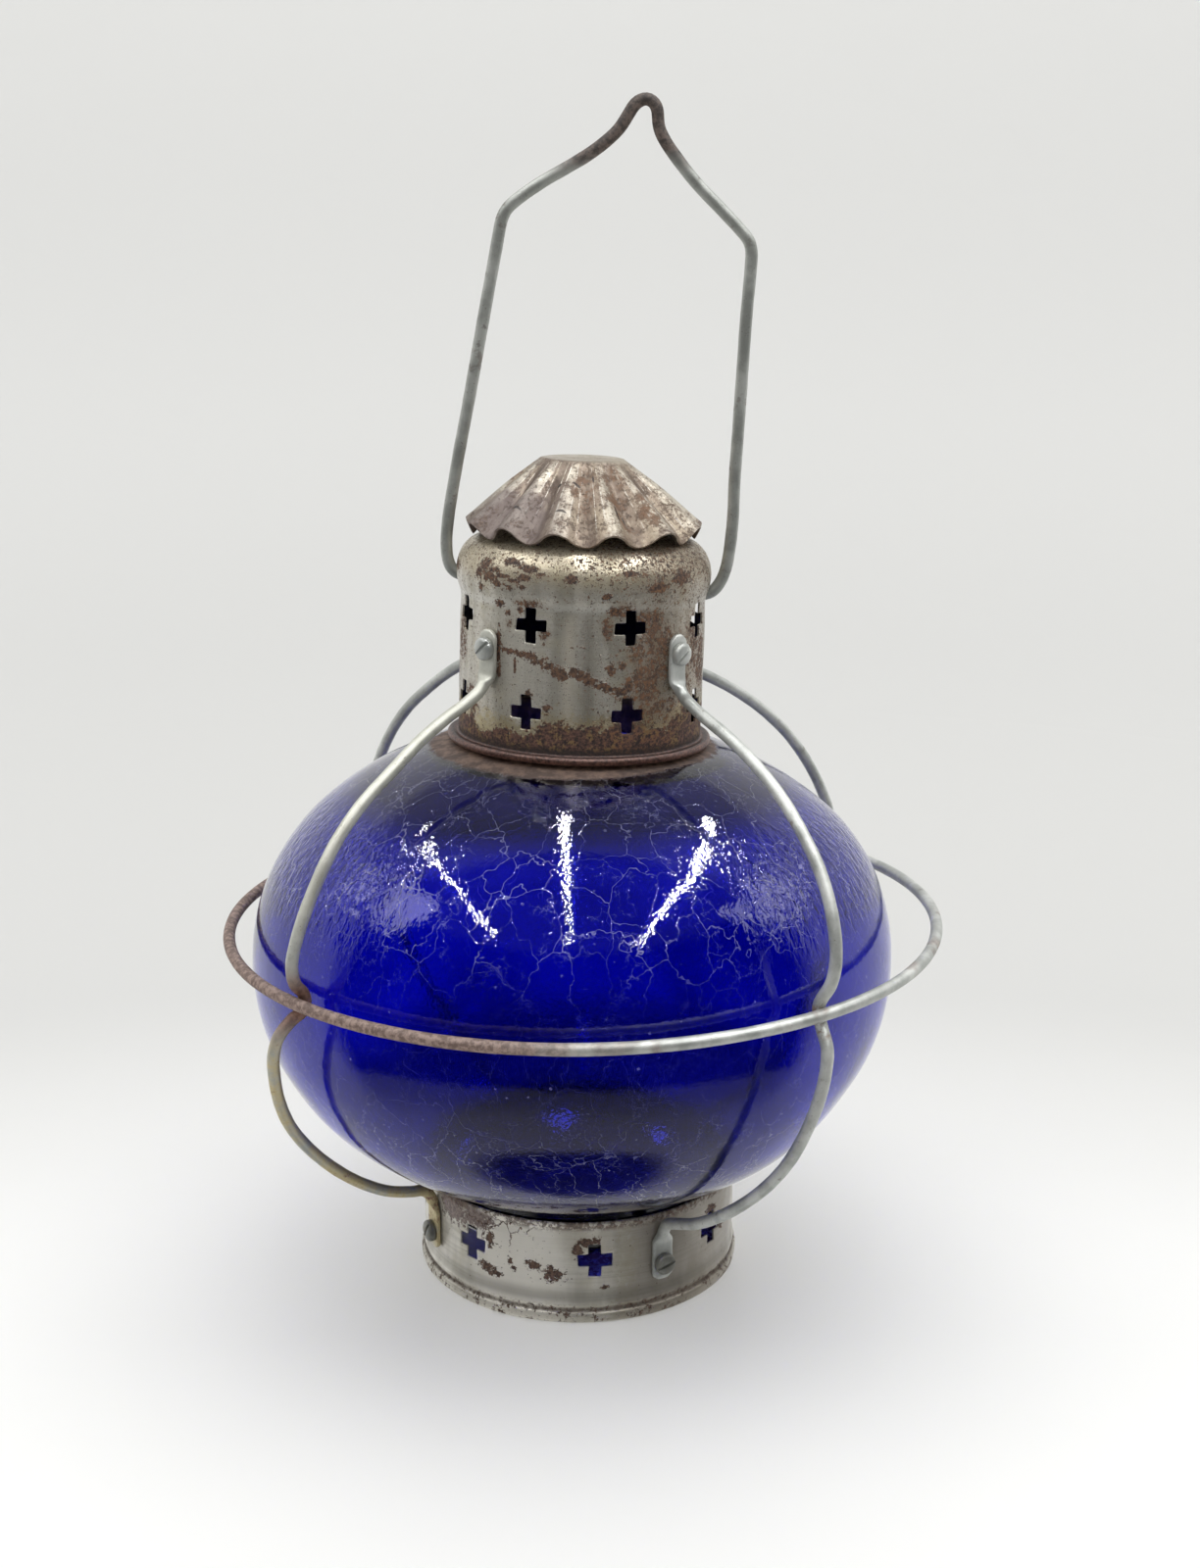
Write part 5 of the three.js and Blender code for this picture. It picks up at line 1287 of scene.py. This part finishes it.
BAIL = [
    [-33.0, 0.0], [-35.5, 0.0], [-37.4, 0.05], [-39.1, 0.45], [-41.0, 2.0], [-42.3, 5.2], [-42.9, 10.3], [-42.85, 15.0], [-42.6, 19.2],
    [-40.77, 36.2], [-38.64, 53.0], [-36.69, 69.5], [-34.77, 85.7], [-33.3, 97.8], [-32.7, 103.0], [-32.2, 106.6], [-31.1, 109.6], [-28.6, 112.4],
    [-21.2, 118.3], [-14.4, 122.8], [-8.1, 127.1], [-3.3, 131.1], [0.6, 135.3], [2.9, 139.4], [4.8, 142.6], [7.8, 144.1],
    [10.3, 142.9], [11.4, 140.4], [11.6, 138.2], [12.3, 135.8], [14.2, 132.7], [17.2, 129.1], [24.1, 121.9], [32.4, 114.8],
    [38.6, 109.4], [41.1, 106.9], [42.35, 103.9], [42.6, 99.8], [42.7, 83.9], [43.1, 67.8], [43.5, 51.4], [43.9, 34.8],
    [44.4, 26.4], [44.5, 20.0], [44.3, 13.6], [43.7, 8.2], [42.1, 3.6], [39.9, 0.9], [37.8, 0.15], [35.5, 0.0], [33.0, 0.0]]


def make_bail():
    p1 = in_chimney(polar(PIVOTS[0][2], PIVOTS[0][0], PIVOTS[0][1]))[0]
    p2 = in_chimney(polar(PIVOTS[1][2], PIVOTS[1][0], PIVOTS[1][1]))[0]
    along = (p2 - p1) / np.linalg.norm(p2 - p1)
    mid = (p1 + p2) / 2
    up = np.array([0, 0, 1.0])
    up -= up @ along * along
    up /= np.linalg.norm(up)
    keys = [mid + along * s + up * d for s, d in BAIL]
    p, s = resample(catmull(keys, 12), 0.9)
    p = soften(p, 2)
    n = len(p)
    wob = 1 + 0.010 * np.sin(s * 0.31) + 0.008 * np.sin(s * 0.83 + 1)
    # round all along, its thickness wobbling slightly
    hw = np.full(n, WIRE_R) * wob
    v, f = sweep(p, np.cross(along, up), hw, hw, 24)
    return build("bail_wire", v, f, M_BAIL, "bail", "bail_handle", sharp=60)


# ------------------------------------------------------------------ screws and nuts
def stand_off(v, az, r, z, spin):
    """u tangential, v up, depth outwards"""
    v = np.asarray(v, float)
    c, s = math.cos(rad(spin)), math.sin(rad(spin))
    x, y = v[:, 0] * c - v[:, 1] * s, v[:, 0] * s + v[:, 1] * c
    out = np.array([math.cos(rad(az)), math.sin(rad(az)), 0.0])
    side = np.array([-math.sin(rad(az)), math.cos(rad(az)), 0.0])
    return np.outer(x, side) + np.outer(y, [0, 0, 1.0]) + np.outer(v[:, 2], out) + out * r + np.array([0, 0, z])


def make_screw(name, length, az, r, z, spin, place_fn, mat, node):
    H, R, sr = 2.3, 3.5, 1.9
    prof = [(0.02, -length), (sr - 0.35, -length), (sr, -length + 0.4)]
    # thread turns
    n = int((length - 1.6) / 0.7)
    for i in range(n):
        zz = -length + 0.6 + i * 0.7
        prof += [(sr, zz), (sr - 0.28, zz + 0.35)]
    prof += [(sr, -0.5), (sr, 0.0), (R - 0.12, 0.0), (R, 0.12), (R, 0.55)]
    dome = [(R, 1.15), (R - 0.12, 1.5), (R - 0.36, 1.8), (R - 0.75, 2.02), (R - 1.3, 2.16), (R - 2.1, 2.25), (0.02, H)]
    prof += dome
    prof = np.array(prof)
    nseg = 48
    v, _ = revolve(prof, nseg)
    f = grid_faces(nseg, len(prof), True, False)
    # close the two tiny end rings
    m = len(prof)
    f.append(tuple(i * m for i in range(nseg)))
    f.append(tuple(i * m + m - 1 for i in range(nseg))[::-1])
    ob = build(name, v, f, mat, None, sharp=40)
    b = np.array([[x, y, zz] for x in (-4.2, 4.2) for y in (-0.48, 0.48) for zz in (H - 0.95, H + 1)])
    bf = [(0, 1, 3, 2), (4, 6, 7, 5), (0, 4, 5, 1), (2, 3, 7, 6), (0, 2, 6, 4), (1, 5, 7, 3)]
    cut(ob, [(b, bf)])
    me = ob.data
    co = np.array([q.co for q in me.vertices]) / MM
    co = place_fn(stand_off(co, az, r, z, spin))
    me.vertices.foreach_set("co", (co * MM).astype(np.float32).ravel())
    me.update()
    bev = ob.modifiers.new("edge", "BEVEL")
    bev.width = 0.12 * MM
    bev.segments = 2
    bev.limit_method = "ANGLE"
    bev.angle_limit = rad(50)
    dg = bpy.context.evaluated_depsgraph_get()
    me2 = bpy.data.meshes.new_from_object(ob.evaluated_get(dg))
    ob.modifiers.clear()
    ob.data = me2
    finish_mesh(ob, 50)
    place(ob, "lantern", node)
    return ob


def make_nut(name, az, r, z, place_fn, node):
    n = 48
    rings = []
    hexr = lambda a: 3.7 * math.cos(rad(30)) / math.cos(((a + math.pi / 6) % (math.pi / 3)) - math.pi / 6)
    # bore, chamfers, flats
    for kind, zz in (("in", 0.3), ("in2", 0.0), ("out1", 0.0), ("out", 0.42), ("out", 1.98), ("out1", 2.4), ("in2", 2.4), ("in", 2.1)):
        ring = []
        for i in range(n):
            a = 2 * math.pi * i / n
            h = hexr(a)
            rr = {"in": 1.98, "in2": 2.25, "out1": min(h, 3.28), "out": h}[kind]
            ring.append((rr * math.cos(a), rr * math.sin(a), zz))
        rings.append(ring)
    v = np.array(rings).transpose(1, 0, 2).reshape(-1, 3)
    f = grid_faces(n, len(rings))
    v = place_fn(stand_off(v, az, r, z, 15))
    return build(name, v, f, M_NUT, "lantern", node, sharp=35)


# ------------------------------------------------------------------ candle tray
def lathe(name, prof, n, mat, node, body="tray", step=0.8, at=(0, 0), sharp=40, times=2):
    p = thin(round_loop(prof, step, times), 1.6)
    p[:, 0] = np.maximum(p[:, 0], 0.0)
    v, f = revolve(p, n)
    v = v + np.array([at[0], at[1], 0])
    return build(name, in_base(v), f, mat, body, node, sharp=sharp, weld=0.003)


def make_tray():
    t = 0.7
    R, z = 46.5, 1.6
    # a shallow pan with a stiffening ring pressed in it and a rolled rim
    prof = [(1.95, z), (22, z), (23.5, z + 0.7), (26.5, z + 0.7), (28, z), (R - 1.2, z), (R - 0.3, z + 0.35), (R, z + 1.2), (R, z + 4.6), (R - 0.25, z + 5.2), (R - 0.9, z + 5.2), (R - 1.0, z + 4.6),
            (R - t, z + 4.2), (R - t, z + 1.5), (R - 1.4, z + t), (28.4, z + t), (26.8, z + t + 0.7), (23.2, z + t + 0.7), (21.6, z + t), (1.95, z + t)]
    p = thin(round_loop(prof, 0.9, 2), 2.0)
    v, f = revolve(p, 160)
    build("candle_tray_pan", in_base(v), f, M_TIN, "tray", "candle_tray", sharp=45)
    z0 = 1.6 + 0.8 + 0.3
    Rc = 12.5
    prof = [(1.95, z0), (Rc - 1.2, z0), (Rc - 0.3, z0 + 0.3), (Rc, z0 + 1.2), (Rc, z0 + 16.6), (Rc + 0.25, z0 + 17.8), (Rc + 0.9, z0 + 18.7), (Rc + 0.85, z0 + 19.0), (Rc + 0.2, z0 + 18.9),
            (Rc - 0.5, z0 + 17.9), (Rc - t, z0 + 16.6), (Rc - t, z0 + 1.4), (Rc - 1.4, z0 + t), (1.95, z0 + t)]
    p = thin(round_loop(prof, 0.7, 2), 1.4)
    v, f = revolve(p, 96)
    build("candle_cup_socket", in_base(v), f, M_TIN, "tray", "candle_cup", sharp=45)
    a, b = 1.6 - 0.25, z0 + 0.8 + 0.25
    lathe("cup_rivet_head", [(0, a - 1.0), (1.6, a - 0.95), (2.6, a - 0.6), (3.0, a - 0.1), (3.0, a), (1.6, a), (1.6, b), (2.8, b), (2.7, b + 0.35), (1.9, b + 0.85), (0, b + 1.1)], 40, M_NUT, "cup_rivet", step=0.5)
    run = [(33.5, 2.9), (38, 2.9), (43.2, 2.9), (44.0, 3.5), (44.1, 7.0), (45.0, 8.1), (48.6, 9.4), (49.9, 11.1), (49.5, 12.4), (48.9, 13.6)]
    line, _ = resample(soften(resample(catmull(run, 10), 0.4)[0], 2), 0.4)
    tan = np.gradient(line, axis=0)
    tan /= np.linalg.norm(tan, axis=1)[:, None]
    nn = np.stack([-tan[:, 1], tan[:, 0]], 1)
    th = 0.28
    m = len(line)
    for nm, az in (("rear", 75.0), ("front", -107.5)):
        # section of the strip: rounded long edges
        sec = [(-4.2, 1), (-4.45, 0.6), (-4.5, 0), (-4.45, -0.6), (-4.2, -1), (0, -1.0), (4.2, -1), (4.45, -0.6), (4.5, 0), (4.45, 0.6), (4.2, 1), (0, 1.0)]
        v = []
        for i in range(m):
            narrow = 1.0 if i < m - 6 else 1.0 - 0.12 * (i - m + 6)
            for w, q in sec:
                x, z = line[i] + nn[i] * th * q
                v.append((x, w * narrow, z))
        v = np.array(v)
        k = len(sec)
        f = grid_faces(m, k, False, True) + [tuple(range(k)), tuple(range((m - 1) * k, m * k))]
        ca, sa = math.cos(rad(az)), math.sin(rad(az))
        v = np.stack([v[:, 0] * ca - v[:, 1] * sa, v[:, 0] * sa + v[:, 1] * ca, v[:, 2]], 1)
        build("spring_clip_leaf_" + nm, in_base(v), f, M_SPRING, "tray", "spring_clip_" + nm, sharp=45)
        c = polar(38, az, 0)
        lathe("clip_rivet_head_" + nm, [(0, a - 0.7), (1.4, a - 0.65), (2.1, a - 0.4), (2.3, a), (1.2, a), (1.2, 3.45), (2.1, 3.45), (1.9, 3.95), (1.0, 4.25), (0, 4.3)], 32, M_NUT, "clip_rivet_" + nm, step=0.4, at=(c[0], c[1]))


# ------------------------------------------------------------------ make everything
make_base()
make_chimney()
make_cap()
make_globe()
make_ring()
for c in CORNERS:
    make_rib(c)
make_bail()
SPIN = {"upper": {"front_left": 42, "front_right": 38, "rear_right": 75, "rear_left": 12}, "lower": {"front_left": 62, "front_right": 14, "rear_right": -35, "rear_left": 55}}
TAB_T, NUT_T = 1.5, 2.4
for c in CORNERS:
    face_up, face_low = CH_R + 0.3 + TAB_T + 0.25, BASE_WALL_R + 0.3 + TAB_T + 0.25
    in_up, in_low = CH_R - 0.8 - 0.5 - NUT_T, BASE_WALL_R - 0.8 - 0.45 - NUT_T
    make_screw("screw_upper_" + c, face_up - in_up + 1.2, CH_SCREW_AZ[c], face_up, CH_SCREW_H, SPIN["upper"][c], in_chimney, M_ZINC, "upper_screw_" + c)
    make_screw("screw_lower_" + c, face_low - in_low + 1.2, BASE_SCREW_AZ[c], face_low, BASE_SCREW_Z, SPIN["lower"][c], in_base, M_DARKZINC, "lower_screw_" + c)
    make_nut("nut_upper_" + c, CH_SCREW_AZ[c], in_up, CH_SCREW_H, in_chimney, "upper_nut_" + c)
    make_nut("nut_lower_" + c, BASE_SCREW_AZ[c], in_low, BASE_SCREW_Z, in_base, "lower_nut_" + c)
make_tray()


# ------------------------------------------------------------------ stage and light
def make_stage():
    s = Shade("pale_floor")
    n = s.noise(9, 3, 0.5)
    out = s.vmath("LENGTH", s.obj)
    # painted shade: the floor turns greyer behind the lantern and far off
    behind = s.add(s.mul(s.split(s.obj)[1], 0.8), s.mul(out, 0.35))
    dim = s.rng(behind, 0.02, 0.30)
    far = s.mx(dim, s.rng(out, 0.4, 1.3))
    pale = s.mix(n, (0.82, 0.82, 0.805), (0.85, 0.85, 0.835))
    grey = s.mix(s.rng(out, 0.9, 1.7), (0.66, 0.66, 0.648), (0.71, 0.71, 0.698))
    pale = s.mix(s.mul(s.mx(dim, s.rng(out, 0.4, 1.1)), s.rng(out, 3.4, 2.0)), pale, grey)
    # painted light: the floor glows faintly close round the lantern, except behind it
    m = s.done(Base_Color=pale, Roughness=0.75, Metallic=0.0, Emission_Color=(1.0, 1.0, 0.98), Emission_Strength=s.mixf(far, 0.14, 0.0))
    # a flat disc that sweeps up slowly into a wall all round
    prof = [(0.0, 0.0)]
    for r in np.linspace(0.05, 0.8, 12):
        prof.append((r, 0.0))
    for a in np.linspace(4, 80, 30):
        prof.append((0.8 + 2.6 * math.sin(rad(a)), 2.6 * (1 - math.cos(rad(a)))))
    n = 96
    ring = [[(r * math.cos(2 * math.pi * i / n), r * math.sin(2 * math.pi * i / n), h - 0.00005) for r, h in prof[1:]] for i in range(n + 1)]
    k = len(prof) - 1

    def sheet(name, cols, disc):
        v = [p for i in cols for p in ring[i]]
        f = grid_faces(len(cols), k, False, False) if not disc else []
        if disc:
            v = [ring[i][11] for i in range(n)]
            f = [tuple(range(n))]
        else:
            v = [p for i in cols for p in ring[i][11:]]
            f = grid_faces(len(cols), k - 11, False, False)
        me = bpy.data.meshes.new(name)
        me.from_pydata(v, [], f)
        me.materials.append(m)
        me.polygons.foreach_set("use_smooth", [True] * len(me.polygons))
        ob = bpy.data.objects.new(name, me)
        bpy.context.scene.collection.objects.link(ob)
        ob.visible_glossy = False
        return ob

    sheet("floor", [], True)
    sheet("backdrop", list(range(0, 49)), False)
    front = sheet("backdrop_front", list(range(48, 97)), False)
    front.visible_diffuse = False


def area_light(name, loc, target, size, size_y, power, colour=(1, 1, 1)):
    d = bpy.data.lights.new(name, "AREA")
    d.shape = "RECTANGLE"
    d.size, d.size_y = size, size_y
    d.energy = power
    d.color = colour
    o = bpy.data.objects.new(name, d)
    o.location = loc
    o.rotation_mode = "QUATERNION"
    o.rotation_quaternion = (Vector(target) - Vector(loc)).to_track_quat("-Z", "Y")
    bpy.context.scene.collection.objects.link(o)
    return o


def make_world():
    w = bpy.data.worlds.new("studio")
    bpy.context.scene.world = w
    w.use_nodes = True
    w.cycles.sampling_method = "NONE"
    t = w.node_tree
    t.nodes.clear()
    out = t.nodes.new("ShaderNodeOutputWorld")
    bg = t.nodes.new("ShaderNodeBackground")
    t.links.new(bg.outputs[0], out.inputs[0])
    co = t.nodes.new("ShaderNodeTexCoord").outputs["Generated"]
    sep = t.nodes.new("ShaderNodeSeparateXYZ")
    t.links.new(co, sep.inputs[0])
    x, y, z = sep.outputs

    def math_(op, *a):
        n = t.nodes.new("ShaderNodeMath")
        n.operation = op
        for i, v in enumerate(a):
            if isinstance(v, bpy.types.NodeSocket):
                t.links.new(v, n.inputs[i])
            else:
                n.inputs[i].default_value = v
        return n.outputs[0]

    def rng(v, a, b):
        n = t.nodes.new("ShaderNodeMapRange")
        n.interpolation_type = "SMOOTHSTEP"
        t.links.new(v, n.inputs[0])
        n.inputs[1].default_value, n.inputs[2].default_value = a, b
        return n.outputs[0]

    def mixf(f, a, b):
        n = t.nodes.new("ShaderNodeMix")
        n.data_type = "FLOAT"
        for i, v in ((0, f), (2, a), (3, b)):
            if isinstance(v, bpy.types.NodeSocket):
                t.links.new(v, n.inputs[i])
            else:
                n.inputs[i].default_value = v
        return n.outputs[0]

    # what gloss shows: pale behind and beside, dark in front, dim above, half bright below
    level = math_("SQRT", math_("ADD", math_("MULTIPLY", x, x), math_("MULTIPLY", y, y)))
    front = rng(math_("DIVIDE", math_("MULTIPLY", y, -1.0), math_("MAXIMUM", level, 0.001)), -0.10, 0.14)
    wall = mixf(front, 0.85, 0.0)
    top = mixf(front, 0.42, 0.09)
    low = mixf(rng(z, -0.56, -0.84), mixf(front, 0.75, 0.30), 0.66)
    low = mixf(rng(z, -0.93, -0.975), low, 0.02)
    v = mixf(rng(z, 0.56, 0.63), wall, top)
    v = mixf(rng(z, -0.50, -0.56), v, low)
    lp = t.nodes.new("ShaderNodeLightPath")
    seen = math_("MAXIMUM", lp.outputs["Is Camera Ray"], lp.outputs["Is Transmission Ray"])
    v = mixf(lp.outputs["Is Diffuse Ray"], v, 0.60)
    t.links.new(mixf(seen, v, 0.72), bg.inputs["Strength"])
    bg.inputs["Color"].default_value = (1.0, 1.0, 0.985, 1.0)


make_stage()
make_world()
for i, (x, y0, y1, wide) in enumerate(((-1.50, -2.45, 1.15, 0.02), (-0.05, -2.70, 0.65, 0.02), (1.36, -2.65, 1.35, 0.034))):
    strip = area_light(f"strip_{i}", (x, (y0 + y1) / 2, 2.4), (x, (y0 + y1) / 2, 0), wide, y1 - y0, 2500 * wide)
    strip.visible_diffuse = False
area_light("soft_left", (-1.62, -0.14, 1.32), (0, 0, 0.12), 1.15, 0.62, 7.0)
area_light("soft_right", (1.62, -0.06, 1.22), (0, 0, 0.12), 1.15, 0.62, 6.6)
fill = area_light("fill_top", (0, 0.9, 2.5), (0, 0.6, 0), 3.0, 3.0, 34)
fill.visible_glossy = False

sc = bpy.context.scene
sc.view_settings.view_transform = "Standard"
sc.view_settings.look = "None"
sc.cycles.max_bounces = 24
sc.cycles.transmission_bounces = 16
sc.cycles.glossy_bounces = 8
sc.cycles.transparent_max_bounces = 16
sc.cycles.caustics_refractive = True
sc.cycles.sample_clamp_indirect = 6.0
